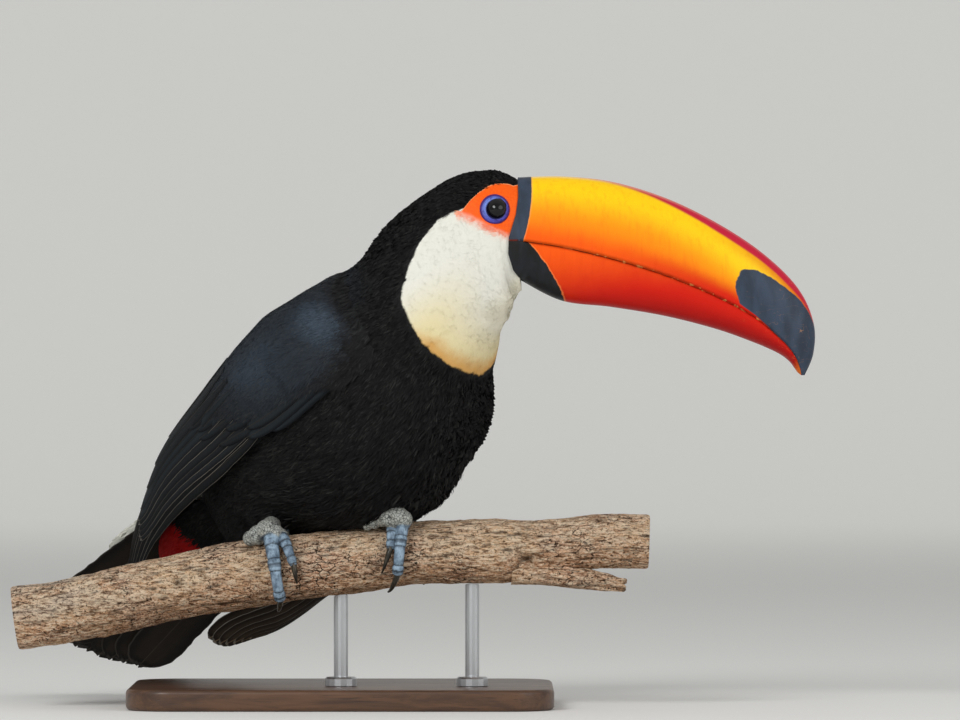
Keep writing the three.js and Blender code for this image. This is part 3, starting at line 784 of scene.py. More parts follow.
def billFinish(name, lower):
    made = Finish(name, Specular_IOR_Level=0.13, Coat_Roughness=0.25, IOR=1.5)
    along = made.read("along")
    height = made.read("height")
    place = made.place()
    streaks = made.noise(place.stretch(1.0, 1.0, 0.12), 420.0, 3.0, 0.6)
    cloud = made.noise(place, 38.0, 3.0, 0.6) - 0.5
    rough = made.noise(place, 210.0, 4.0, 0.6) - 0.5
    fine = made.noise(place, 700.0, 4.0, 0.65)
    # the bill's black parts turn slate in mottled patches, much on the upper bill and little on the lower:
    # painted sheen
    wearAndSheen = made.noise(place.stretch(1.0, 1.0, 0.3), 160.0, 3.0).between(0.3, 0.7)
    dark = made.blend(wearAndSheen * 0.12 if lower else wearAndSheen * 0.3 + 0.45, billTints["black"], billTints["slate"])
    chips = made.noise(place.stretch(1, 0.3, 1), 300.0, 2.0).between(0.56, 0.64)
    if lower:
        edge = along - (0.031 + height * 0.125 - height * height * 0.037) + rough * 0.014
        blackened = edge.between(0.0012, -0.0012)
        colour = made.layers(
            billTints["orange"],
            ((along + height * 0.35 + cloud * 0.15).between(0.08, 0.5), billTints["red"]),
            ((along * 0.85 + height * 0.6 + cloud * 0.2).between(0.45, 0.95), billTints["deep"]),
            ((along + cloud * 0.05 - height * 0.03).between(0.78, 0.95), billTints["tip"]),
            (edge.between(0.006, 0.001) * 0.4, billTints["chip"]),
        )
    else:
        grown = height + cloud * 0.12 + along * 0.22 + along.between(0.35, 0.7) * 0.3
        rosy = along.between(0.12, 0.5) * (height + cloud * 0.1).between(0.34, 0.05)
        brow = 0.988 - along.between(0.15, 0.52) * 0.128 + along.between(0.62, 0.8) * 0.11
        warm = (height - brow).between(-0.2, 0.0) * along.between(0.35, 0.75) * 0.85
        stripe = (height - brow + cloud * 0.02).between(-0.02, 0.02) * along.between(0.1, 0.22)
        # a painted highlight along the top of the upper bill: pale near the base, rose over the crimson
        # stripe
        ridgeHighlight = height.between(0.955, 0.995)
        bulge = (height - 0.3).size()
        patchEdge = along - (0.494 + bulge * bulge * 0.25) + rough * 0.012
        top = (0.6 + (along - 0.52) * 3.2).least(0.83 + (along - 0.66) * 1.25)
        low = (0.62 - along) * 0.6
        inside = patchEdge.between(-0.002, 0.002) * (height - top + rough * 0.05).between(0.01, -0.01)
        inside = inside * (height - low + cloud * 0.05).between(-0.008, 0.008)
        band = along - (0.016 + height * 0.062 - height * height * 0.038) + rough * 0.004
        blackened = inside.most(band.between(0.001, -0.001))
        colour = made.layers(
            billTints["orange"],
            (grown.between(0.08, 0.5), billTints["amber"]),
            (grown.between(0.42, 0.86), billTints["yellow"]),
            (rosy, billTints["red"]),
            (warm, billTints["red"]),
            (stripe, billTints["crimson"]),
            (ridgeHighlight * along.between(0.5, 0.05) * 0.8, billTints["pale"]),
            (ridgeHighlight * stripe * 0.5, billTints["rose"]),
            (band.between(0.005, 0.001) * 0.5, billTints["chip"]),
        )
    # along the mouth line the colour is darkest at the base, painted shade of the gap between the mandibles,
    # and turns to the lips' own red further out
    lips = made.blend(along.between(0.1, 0.4) * 0.9, billTints["mouth"], billTints["lips"])
    scratch = made.noise(place.stretch(0.4, 1, 1.3), 160.0, 1.0, 0.4, 1.5) - 0.5
    scratch = scratch.size().between(0.004, 0.001) * along.between(0.4, 0.8)
    colour = made.layers(
        colour,
        (streaks.between(0.45, 0.75) * 0.14, billTints["red"]),
        (height.between(0.03, 0.012) * chips * along.between(0.1, 0.2) * 0.8, billTints["chip"]),
        (blackened, dark),
        (height.between(0.008, 0.002) * (1.0 - chips * 0.8), lips),
        (scratch * 0.25, billTints["chip"]),
    )
    made.set(Base_Color=colour, Roughness=0.38 + fine * 0.16, Coat_Weight=0.09 - cloud * 0.08)
    made.bump(streaks * 0.5 + fine * 0.3, 0.0004, 0.5)
    return made.material


for name, outer, share, lower in (
    ("upper_mandible", "culmen", 1.0, False), ("lower_mandible", "keel", bill["lowerShare"], True),
):
    points, faces, values = mandible(bill[outer], share, lower)
    solid = "lower_bill" if lower else "upper_bill"
    addMesh(name, points, faces, billFinish(name, lower), values, None, (solid,))
print("bill made")


# eyes, each with its ring of bare blue skin and thin lids

eyeTints = {
    # ringPale: the colour of painted highlight on the eye ring
    "ring": paint(70, 55, 158), "ringPale": paint(112, 136, 214), "ringDark": paint(54, 26, 104),
    "lid": paint(24, 26, 74), "iris": paint(26, 22, 24), "pupil": paint(4, 4, 5),
}


def revolve(profile, side, count, shape):
    radius, rise = np.array(profile, float).T
    turn = np.linspace(0, 2 * math.pi, count, endpoint=False)
    r, a = np.meshgrid(radius, turn, indexing="ij")
    h = np.repeat(rise[:, None], count, 1)
    x = eye["x"] + r * np.cos(a)
    z = eye["z"] + r * np.sin(a)
    return shape(x, z, r, a, h, side)


def eyeRing(x, z, r, a, h, side):
    x = x - 0.8 * smooth((r - eye["lid"]) / (eye["ring"] - eye["lid"]))
    creases = 0.10 * np.sin(r * 7.5 + 0.8 * np.sin(2 * a)) + 0.06 * np.sin(a * 19 + r * 2)
    out = cheek(x, z) - 0.25 + h + creases * (h > 0.05)
    return np.stack([x, headPlane + side * out, z], -1)


def eyeBall(x, z, r, a, h, side):
    return np.stack([x, headPlane + side * (eye["out"] + h), z], -1)


def ringFinish():
    made = Finish("eyeRing", Specular_IOR_Level=0.4)
    place = made.place()
    soft = made.noise(place, 420.0, 3.0, 0.6)
    outer = made.read("outer")      # 0 at the eyelid, 1 at the outer edge
    lit = made.read("lit")
    colour = made.layers(
        eyeTints["ring"],
        # a little pale blue over the inner ring and much more on its upper left: a painted highlight
        (outer.between(0.85, 0.35) * (0.2 + lit * 0.8), eyeTints["ringPale"]),
        (soft.between(0.48, 0.66) * 0.5, eyeTints["ringDark"]),
        (outer.between(0.6, 0.86), eyeTints["ringDark"]),
        (outer.between(0.24, 0.08), eyeTints["lid"]),
    )
    made.set(Base_Color=colour, Roughness=0.42 + soft * 0.1)
    made.bump(soft, 0.0003, 0.5)
    return made.material


def eyeFinish():
    made = Finish("eye", Roughness=0.05, Specular_IOR_Level=0.35)
    away = made.read("away")
    strands = made.noise(made.place(), 900.0, 2.0)
    iris = made.blend(strands * 0.8, eyeTints["iris"], eyeTints["pupil"])
    made.set(Base_Color=made.blend(away.between(3.6, 3.3), iris, eyeTints["pupil"]))
    return made.material


def addEyes():
    ringMaterial, ballMaterial = ringFinish(), eyeFinish()
    lid, ring, ballRadius = eye["lid"], eye["ring"], eye["radius"]
    rolls = [
        (lid - 0.5, -1.6), (lid - 0.25, -0.5), (lid, 0.25), (lid + 0.35, 0.62), (lid + 0.8, 0.55),
        (lid + 1.1, 0.42), (lid + 1.5, 0.68), (lid + 1.9, 0.6), (lid + 2.2, 0.42), (ring - 0.6, 0.45),
        (ring - 0.25, 0.2), (ring, -0.25), (ring + 0.2, -0.9),
    ]
    spread = np.linspace(0.02, 0.52 * math.pi, 22)
    bulge = eye["bulge"]
    ball = [(ballRadius * math.sin(p) - 0.02, ballRadius * math.cos(p) + bulge * max(0, 1 - p) ** 2)
            for p in spread]
    rings, sides, ballSides = eye["rings"], eye["sides"], eye["ballSides"]
    around = np.linspace(0, 2 * math.pi, sides, endpoint=False)
    for name, side in (("right", -1), ("left", 1)):
        fine = track(rolls, np.linspace(0, len(rolls) - 1, rings))
        points = revolve(fine, side, sides, eyeRing)
        faces = gridFaces(rings, sides, closed=True)
        outer = np.repeat(np.clip((fine[:, 0] - lid) / (ring - lid), 0, 1), sides)
        # where the painted highlight falls on the ring: the upper left
        lit = np.tile(smooth(0.45 + 0.55 * np.cos(around - eye["litFrom"])), rings)
        addMesh(f"eye_ring_{name}", points, faces if side > 0 else faces[:, ::-1], ringMaterial,
                {"outer": outer, "lit": lit}, None)
        points = revolve(ball, side, ballSides, eyeBall)
        faces = gridFaces(len(ball), ballSides, closed=True)
        away = np.repeat([p[0] for p in ball], ballSides)
        hub = [[eye["x"], headPlane + side * (eye["out"] + ballRadius + bulge), eye["z"]]]
        first = np.arange(ballSides)
        tip = np.stack([first, (first + 1) % ballSides, np.full(ballSides, ballSides * len(ball))], -1)
        if side < 0:
            faces, tip = faces[:, ::-1], tip[:, ::-1]
        addMesh(f"eyeball_{name}", np.vstack([points.reshape(-1, 3), hub]), [faces, tip[:, ::-1]],
                ballMaterial, {"away": np.append(away, 0.0)}, None, (f"eye_{name}",))


addEyes()
print("eyes made")


# long feathers: thin closed vanes with a shaft, laid over the folded wings and in the tail

vaneTints = {
    # dark: the colour of painted shade between overlapping feathers
    "dark": paint(5, 5, 7), "black": paint(14, 15, 16), "slate": paint(42, 50, 56),
    "brown": paint(52, 43, 34),
    "edge": paint(132, 127, 119), "shaft": paint(44, 41, 38), "horn": paint(108, 93, 74),
}


def vaneFinish():
    made = Finish("vanes", Specular_IOR_Level=0.06)
    vane = made.readVector("vane")      # across and along in millimetres, and a chance value
    across, along, luck = vane.part("X"), vane.part("Y"), vane.part("Z")
    reach = made.read("reach")          # 0 at the shaft, 1 at the edge
    tone = made.read("tone")            # 1 for slate, 0 for black, below 0 for brown
    place = made.place()
    barbs = (along * 5.2 - across.size() * 4.2 + made.noise(place, 160.0, 2.0) * 6.0).wave() * 0.5 + 0.5
    cloud = made.noise(place, 90.0, 3.0, 0.6)
    shaft = across.size().between(0.4, 0.2)
    colour = made.layers(
        vaneTints["black"],
        (tone * (0.6 + cloud * 0.7), vaneTints["slate"]),
        (tone.between(0.0, -0.9) * (0.6 + cloud * 0.5), vaneTints["brown"]),
        (barbs * 0.1 + luck * 0.06, vaneTints["brown"]),
        # a dark band inside each pale edge: painted shade where the neighbouring feather overlaps
        (reach.between(0.4, 0.86) * 0.6, vaneTints["dark"]),
        (reach.between(0.9, 0.98) * made.read("edged"), vaneTints["edge"]),
        (shaft * 0.7, made.blend(tone.between(-0.3, -0.9), vaneTints["shaft"], vaneTints["horn"])),
    )
    made.set(Base_Color=colour, Roughness=0.6 - shaft * 0.15 + barbs * 0.1)
    made.bump(barbs * (1.0 - shaft), 0.0003, 0.5)
    return made.material


vaneMaterial = vaneFinish()
vaneStyle = {
    "bow": 0.0, "rise": 0.4, "tilt": 0.35, "crown": 0.25, "blunt": 0.72, "narrow": 0.45, "tone": 0.2,
    "edged": 0.0, "fray": 0.0,
}


# one vane from its root to its tip; angles are in degrees
def vane(step, stepEnd, angle, angleEnd, half, high, **more):
    made = dict(vaneStyle, step=step, stepEnd=stepEnd, half=half, high=high, luck=chance.uniform(),
                angle=math.radians(angle), angleEnd=math.radians(angleEnd))
    made.update(more)
    return made


# surface(step, angle, grow) carries the vanes
def growVanes(name, surface, vanes, rings, columns, replaces=(), thick=0.32):
    count = len(vanes)
    read = {k: np.array([v[k] for v in vanes], float)[:, None, None] for k in vanes[0]}
    t = (np.linspace(0, 1, rings) ** 0.85)[None, :, None]
    x = np.linspace(-1, 1, columns)[None, None, :]
    torn = np.abs(np.sin(x * 9 + read["luck"] * 31)) * 0.6 + np.abs(np.sin(x * 23 + read["luck"] * 17)) * 0.4
    step = mix(read["step"], read["stepEnd"], t * (1 - read["fray"] * torn * smooth((t - 0.7) / 0.3)))
    angle = mix(read["angle"], read["angleEnd"], t) + np.radians(read["bow"]) * 4 * t * (1 - t)
    tip = np.sqrt(np.maximum(1 - np.maximum((t - read["blunt"]) / (1 - read["blunt"]), 0) ** 2.2, 0.0))
    half = read["half"] * mix(read["narrow"], 1.0, smooth(t / 0.35)) * np.maximum(tip, 0.06)
    nibbled = np.abs(np.sin(t * 41 + read["luck"] * 9) * np.sin(t * 17 + read["luck"] * 5))
    ragged = 1 - 0.05 * nibbled * x ** 6
    core = mix(read["step"], read["stepEnd"], t)
    base = surface(core, angle, 0 * core)
    perTurn = np.linalg.norm(surface(core, angle + 0.02, 0 * core) - base, axis=-1) / 0.02
    grow = read["rise"] * t + read["high"] + read["tilt"] * x + read["crown"] * (1 - x ** 2)
    grow = grow + 0.22 * np.exp(-(x * half / 0.35) ** 2) * (1 - 0.6 * t)
    shape = np.broadcast_shapes(step.shape, x.shape, (count, rings, columns))
    step, angle = np.broadcast_to(step, shape), np.broadcast_to(angle, shape) + x * half * ragged / perTurn
    over = surface(step, angle, np.broadcast_to(grow, shape))
    under = surface(step, angle, grow - thick * (1 - np.abs(x) ** 4) * np.ones(shape))
    points = np.stack([over, under], 1).reshape(-1, 3)
    each = 2 * rings * columns
    grid = gridFaces(rings, columns)
    rim = np.concatenate([
        np.arange(rings) * columns, (rings - 1) * columns + np.arange(1, columns),
        np.arange(rings - 2, -1, -1) * columns + columns - 1, np.arange(columns - 2, 0, -1),
    ])
    after = np.roll(rim, -1)
    sides = np.stack([rim, after, after + rings * columns, rim + rings * columns], -1)
    faces = repeatFaces(np.vstack([grid, grid[:, ::-1] + rings * columns, sides]), count, each)
    length = np.linalg.norm(over[:, -1, columns // 2] - over[:, 0, columns // 2], axis=-1)[:, None, None]
    weave = np.stack([
        np.broadcast_to(x * half, shape), np.broadcast_to(t * length, shape),
        np.broadcast_to(read["luck"], shape),
    ], -1)
    reach = np.broadcast_to(np.maximum(np.abs(x), smooth((t - 0.9) / 0.1)), shape)
    values = {
        "vane": np.stack([weave, weave], 1).reshape(-1, 3),
        "reach": np.stack([reach, reach], 1).ravel(),
        "tone": np.repeat(read["tone"].ravel(), each), "edged": np.repeat(read["edged"].ravel(), each),
    }
    spans = (((read[k] - read[k].min()) / max(np.ptp(read[k]), 1e-3)).ravel() for k in ("step", "angle"))
    u, v = (np.repeat(span, each) for span in spans)
    local = np.stack([np.broadcast_to(x, shape) / 2, np.broadcast_to(t, shape) - 0.5], -1)
    local = np.stack([local, local + 0.02], 1).reshape(-1, 2)
    patch = 0.02 + 0.96 * np.stack([u, v], -1) + 0.003 * local
    addMesh(name, points, faces, vaneMaterial, values, patch, replaces)
    print(name, len(faces) * 2, "triangles")


wing = {
    "bend": 6.95, "end": 2.15, "top": 24.0, "thick": 4.8, "thickEnd": 2.6, "lip": 1.5,
    "lowSteps": [1.2, 2.3, 3.6, 4.8, 6.3], "lowAngles": [130, 131, 126, 114, 111],
    "hang": {"right": 0.0, "left": 20.0}, "sag": {"right": 0.0, "left": 7.0},
}


# the outline of a folded wing; angles are in radians and grow from the back down
def wingSurface(side):
    def surface(step, angle, grow=0.0):
        t = np.clip((wing["bend"] - step) / (wing["bend"] - wing["end"]), 0, 1)
        bottom = np.interp(step, wing["lowSteps"], wing["lowAngles"])
        u = np.clip((np.degrees(angle) - wing["top"]) / (bottom - wing["top"]), 0, 1)
        swell = mix(0.9, mix(wing["thick"], wing["thickEnd"], t), smooth((step - 1.9) / 0.9))
        lip = wing["lip"] * mix(0.15, 1.0, smooth(u * 4)) * mix(0.5, 1.0, smooth((5.6 - step) / 1.0))
        flat = smooth((64 - np.degrees(angle)) / 34) * smooth((step - 5.5) / 0.6)
        high = (lip + swell * np.sin(math.pi * u) ** 0.6) * smooth((7.35 - step) / 1.0)
        high = high * (1 - flat) - 0.8 * flat
        high = high - 2.2 * smooth((step - 6.85) / 0.5)
        points = wrap.point(step, (1 if side == "left" else -1) * angle, high + grow)
        points[..., 2] -= wing["hang"][side] * smooth((wing["bend"] - step) / 3.4)
        points[..., 2] -= wing["sag"][side] * np.exp(-((step - 2.1) / 0.8) ** 2)
        return points
    return surface


# root step, tip step, root angle, tip angle, half width, height and bow, from the lowest up;
# the greater coverts have no bow
flight = {
    "right": [
        (4.8, 0.95, 106, 111, 5.0, -1.1, 9.5), (4.7, 0.7, 104, 107, 5.2, -1.0, 7.5),
        (4.65, 0.4, 102, 101, 5.4, -0.9, 7), (4.6, 0.15, 100, 95, 5.6, -0.8, 5.5),
        (4.5, 0.02, 98, 89, 5.8, -0.7, 4), (4.4, 0.1, 96, 85, 6.0, -0.6, 3),
    ],
    "left": [
        (4.8, 1.5, 110, 116, 6.4, -1.1, 14), (4.7, 1.25, 108, 107, 6.8, -1.0, 12),
        (4.65, 1.05, 106, 98, 7.2, -0.9, 10), (4.6, 0.87, 103, 89, 7.6, -0.8, 8),
        (4.5, 0.73, 100, 80, 7.8, -0.7, 6), (4.4, 0.62, 97, 71, 8.0, -0.6, 5),
        (4.4, 0.58, 92, 62, 8.0, -0.5, 3),
    ],
}
inner = [
    (5.0, 1.7, 102, 108, 5.4, -0.7, 4), (4.95, 1.72, 99.5, 104.5, 5.4, -0.6, 3.5),
    (4.9, 1.78, 97, 101, 5.6, -0.5, 3), (4.9, 1.84, 93, 97, 6.0, -0.4, 2),
    (4.85, 1.86, 88, 92.5, 6.6, -0.25, 1), (4.8, 2.0, 82, 88, 7.6, -0.1, 0),
    (4.7, 2.3, 74, 81, 9.5, 0.05, 0), (4.6, 2.6, 63, 71, 10.5, 0.15, 0),
    (4.5, 2.95, 50, 59, 11.0, 0.25, 0), (4.4, 3.25, 37, 46, 11.0, 0.35, 0),
]
greater = [
    (6.4, 4.95, 109.5, 110, 4.2, -1.2), (6.3, 4.56, 106.5, 107.5, 4.8, -0.95),
    (6.0, 4.66, 104.0, 103.5, 4.8, -0.8), (5.4, 4.02, 103, 104.5, 4.4, -1.2),
    (5.3, 4.3, 99, 99, 4.8, -1.05), (5.1, 3.72, 94, 95, 5.0, -1.1),
    (5.0, 3.72, 88, 89, 5.4, -1.0), (4.9, 3.55, 81, 83, 6.0, -0.9),
]


# how strongly the painted slate sheen shows over a folded wing, brightest at the shoulder
def sheen(step, degrees):
    shoulder = np.exp(-((step - 6.95) / 0.34) ** 2 - ((degrees - 78) / 15) ** 2)
    middle = np.exp(-((step - 5.4) / 0.7) ** 2 - ((degrees - 80) / 15) ** 2)
    low = smooth((degrees - 88) / 14) * smooth((6.2 - step) / 0.8)
    return np.clip(0.27 + 0.85 * shoulder + 0.34 * middle + 0.15 * low, 0, 1)


plainMarks = {
    "bib": -9.0, "bibLow": -9.0, "cream": 0.0, "bare": -9.0, "bareLow": -9.0, "rump": 0.0, "vent": 0.0,
    "mantleSheen": 0.0,
}
shoulder = {
    "tufts": 15000, "keep": 0.4, "from": 3.6, "to": 7.35, "top": 22, "bottom": 113,
    "nearAngles": [22, 45, 60, 80, 92, 98, 101, 106, 111],
    "near": [4.1, 4.0, 3.95, 4.1, 4.5, 4.8, 5.2, 6.1, 6.3],
    "farAngles": [22, 60, 85, 100, 111], "far": [7.35, 7.35, 7.3, 7.2, 7.05],
    "limitSteps": [6.2, 6.8, 7.25], "limit": [114, 106, 95],
    "slivers": 8, "fan": 0.32, "width": 0.85, "longest": 11.0, "shortest": 8.0,
}


# soft small coverts over the shoulder, out to where the long ones begin
def addShoulder(side, surface):
    low = (shoulder["from"], math.radians(shoulder["top"]))
    high = (shoulder["to"], math.radians(shoulder["bottom"]))
    step, angle = scatter(surface, low, high, shoulder["tufts"])
    degrees = np.degrees(angle)
    near = np.interp(degrees, shoulder["nearAngles"], shoulder["near"])
    far = np.interp(degrees, shoulder["farAngles"], shoulder["far"])
    keep = (step > near) & (step < far) & (chance.uniform(0, 1, len(step)) < shoulder["keep"])
    step, angle, degrees, near = (v[keep] for v in (step, angle, degrees, near))
    count = len(step)
    marks = {k: np.full(count, v) for k, v in plainMarks.items()}
    limit = np.interp(step, shoulder["limitSteps"], shoulder["limit"]) + chance.normal(0, 1.2, count)
    edge = smooth((7.22 - step + chance.normal(0, 0.03, count)) / 0.34) * smooth((limit - degrees) / 12)
    grown = mix(0.35, 1.0, smooth((step - near) / 1.3))
    # painted slate sheen over the shoulder coverts, fading out at their front and lower edges
    marks["mantleSheen"] = sheen(step, degrees) * mix(0.05, 1.0, edge) * grown
    front = smooth((step - 6.5) / 0.6)
    beyond = smooth((degrees - limit) / 8) * smooth((step - 6.2) / 0.4)
    rough = np.maximum(smooth((step - 6.95) / 0.3), beyond)
    # a patch where the coverts lie higher over the base of the long feathers
    panel = smooth((step - 5.75) / 0.12) * smooth((6.5 - step) / 0.3)
    panel = panel * smooth((degrees - 82) / 5) * smooth((103 - degrees) / 4)
    look = {
        "slivers": shoulder["slivers"], "fan": shoulder["fan"], "sweep": chance.normal(0, 0.1, count),
        "length": mix(shoulder["longest"], shoulder["shortest"], front) * chance.uniform(0.85, 1.15, count),
        "width": np.full(count, shoulder["width"]),
        "depth": 0.6 - 0.7 * panel - mix(1.5, 0.4, rough) * smooth((step - 6.6) / 0.5),
        "rise": mix(1.1, 1.0, front), "tilt": mix(0.5, 1.0, rough), "lift": mix(0.06, 0.25, rough),
    }
    growTufts(f"shoulder_coat_{side}", surface, step, angle, look, marks, (low, high))


wingBed = {
    "rings": 70, "columns": 40, "front": 6.9, "tip": {"right": 0.17, "left": 3.1}, "depth": 2.1,
    "upperSteps": [0.1, 1.9, 2.6, 4.4], "upper": [88, 90, 72, 27],
    "lowerSteps": [0.1, 1.0, 2.0, 3.6, 4.8, 6.3], "lower": [90, 108, 121, 120, 110, 108],
}


# the soft bed that a wing's feathers lie on
def addBed(side, surface):
    rings, columns = wingBed["rings"], wingBed["columns"]
    steps = np.linspace(wingBed["front"], wingBed["tip"][side], rings)
    step, share = np.meshgrid(steps, np.linspace(0, 1, columns), indexing="ij")
    upper = np.interp(step, wingBed["upperSteps"], wingBed["upper"])
    lower = np.interp(step, wingBed["lowerSteps"], wingBed["lower"])
    points = surface(step, np.radians(mix(upper, lower, share)), -wingBed["depth"])
    faces = gridFaces(rings, columns)
    one = np.ones(points[..., 0].size)
    values = {
        "vane": np.zeros((one.size, 3)) + [3, 0, 0], "reach": one * 0.3, "tone": one * 0.1, "edged": one * 0,
    }
    addMesh(f"wing_bed_{side}", points, faces if side == "left" else faces[:, ::-1], vaneMaterial,
            values, None)


def addWing(side):
    surface = wingSurface(side)
    near = side == "right"
    vanes = [vane(*row[:6], bow=row[6], rise=-0.3, blunt=0.64 if near else 0.82,
                  tone=chance.uniform(-0.1, 0.3) if near else -0.9,
                  edged=chance.uniform(0.3, 0.9), narrow=0.75) for row in flight[side]]
    vanes += [vane(*row[:6], bow=row[6], rise=0.1, blunt=0.84, tone=chance.uniform(0.3, 0.75),
                   edged=chance.uniform(0.2, 0.8) if row[4] < 7 else 0.15) for row in inner]
    growVanes(f"flight_feathers_{side}", surface, vanes, 48, 13,
              (f"wing_{side}", f"primaries_{side}"))
    vanes = [vane(*row, blunt=0.7, tone=0.6 if row[0] > 5.5 else 0.4, narrow=0.8, rise=1.1)
             for row in greater]
    growVanes(f"wing_coverts_{side}", surface, vanes, 30, 11)
    addShoulder(side, surface)
    addBed(side, surface)


for side in ("right", "left"):
    addWing(side)
print("wings made")


# tail: ten feathers in a shallow fan, and the soft coverts over and under its root

tail = {
    "root": np.array([-62.0, 40.0, 109.0]), "heading": 52.0, "pitch": -28.5, "roll": 25.0,
    "feathers": 10, "length": 173.0, "outerShort": 14.0, "half": 16.5,
    "rootSpread": 4.6, "fanSpread": 3.0, "droop": 1.0,
}


def tailFrame():
    pitch, turn, roll = (math.radians(tail[k]) for k in ("pitch", "heading", "roll"))
    flat = math.cos(pitch)
    forward = np.array([math.cos(turn) * flat, -math.sin(turn) * flat, -math.sin(pitch)])
    level = np.array([math.sin(turn), math.cos(turn), 0.0])
    left = unit(level - forward * (level @ forward))
    left = left * math.cos(-roll) + np.cross(forward, left) * math.sin(-roll)
    return forward, left, np.cross(forward, left)


tailForward, tailLeft, tailUp = tailFrame()


# steps fall towards the tip in millimetres; angles are millimetres across
def tailSurface(step, angle, grow=0.0):
    along = -np.asarray(step, float)[..., None]
    across, grow = np.asarray(angle, float)[..., None], np.asarray(grow, float)[..., None]
    return tail["root"] - tailForward * along + tailLeft * across + tailUp * grow


def addTail():
    vanes = []
    middle = (tail["feathers"] - 1) / 2
    for index in sorted(range(tail["feathers"]), key=lambda k: -abs(k - middle)):
        place = index - middle
        outward = abs(place)
        length = tail["length"] + 2.5 - tail["outerShort"] * (outward / 4.5) ** 2 - chance.uniform(0, 2.0)
        made = vane(2.0, -length + 0.3, 0, 0, tail["half"] - 0.6, -outward * tail["droop"] + 0.1,
                    rise=-outward ** 2 * 0.15, tilt=-0.12 * math.copysign(1, place), crown=0.3, blunt=0.84,
                    tone=-0.45, edged=0.12, fray=0.03)
        fan = tail["fanSpread"] * (0.76 if place > 0 else 1.0)
        made.update(angle=place * tail["rootSpread"], angleEnd=place * (tail["rootSpread"] + fan))
        vanes.append(made)
    growVanes("tail_feathers", tailSurface, vanes, 90, 17, ("tail",), 0.4)


addTail()


# a tongue of coverts: angle 0 is its top middle, a quarter turn its left edge
def tongueSurface(shape):
    def surface(step, angle, grow=0.0):
        along = -np.asarray(step, float)
        t = np.clip((along - shape["from"]) / (shape["to"] - shape["from"]), 0, 1)
        rounded = np.maximum((t - shape["shoulder"]) / (1 - shape["shoulder"]), 0)
        taper = np.sqrt(np.maximum(1 - rounded ** 2, 0.02))
        half = shape["half"] * mix(shape["waist"], 1.0, smooth(t / 0.8)) * taper
        across = np.sin(angle) * (half + grow)
        rise = np.cos(angle) * (shape["deep"] * taper + grow) + mix(shape["rise"], shape["tip"], t)
        return tailSurface(step, across, rise)
    return surface


tongues = {
    "tail_coverts_upper": {
        "from": -14, "to": 98, "rise": 9, "tip": 5.5, "half": 38.4, "waist": 0.76, "deep": 6.5,
        "shoulder": 0.8, "mark": "rump", "slot": "white_plumage", "black": -20,
    },
    "tail_coverts_under": {
        "from": -12, "to": 64, "rise": -9, "tip": -5.5, "half": 28, "waist": 1.0, "deep": 11.5,
        "shoulder": 0.45, "mark": "vent", "slot": "red_plumage", "black": 13,
    },
}
tongueCoat = {"tufts": 1900, "slivers": 7, "fan": 0.3, "width": 0.8, "depth": 2.2, "rise": 2.0, "lift": 0.4,
              "bedRings": 40, "bedColumns": 61, "bedDepth": 2.4}


def addTongue(name, shape):
    surface = tongueSurface(shape)
    low, high = (-shape["to"] + 9.0, -math.pi), (-shape["from"] - 2.0, math.pi)
    step, angle = scatter(surface, low, high, tongueCoat["tufts"])
    count = len(step)
    marks = {k: np.full(count, v) for k, v in plainMarks.items()}
    marks[shape["mark"]] = (-step > shape["black"]) * 1.0
    look = {
        "slivers": tongueCoat["slivers"], "fan": tongueCoat["fan"], "sweep": chance.normal(0, 0.1, count),
        "length": chance.uniform(11, 17, count), "tilt": np.ones(count),
    }
    look.update({k: np.full(count, tongueCoat[k]) for k in ("width", "depth", "rise", "lift")})
    rings, columns = tongueCoat["bedRings"], tongueCoat["bedColumns"]
    bed, bedAngle = np.meshgrid(
        np.linspace(low[0], high[0], rings), np.linspace(-math.pi, math.pi, columns), indexing="ij"
    )
    flat = {k: np.full(bed.size, v) for k, v in plainMarks.items()}
    flat[shape["mark"]] = (-bed.ravel() > shape["black"] + 4) * 1.0
    flat["strand"], flat["along"] = np.full(bed.size, 0.3), np.full(bed.size, 0.5)
    spread = np.stack([(bed - low[0]) / (high[0] - low[0]), (bedAngle / math.pi + 1) / 2], -1)
    points = surface(bed, bedAngle, -tongueCoat["bedDepth"])
    addMesh(name + "_bed", points, gridFaces(rings, columns)[:, ::-1], plumageMaterial, flat,
            spread.reshape(-1, 2) * 0.98 + 0.01, (name,))
    growTufts(name + "_coat", surface, step, angle, look, marks, (low, high))


for name, shape in tongues.items():
    addTongue(name, shape)
print("tail made")


# feet: scaly toes curled over the branch, two in front and two behind

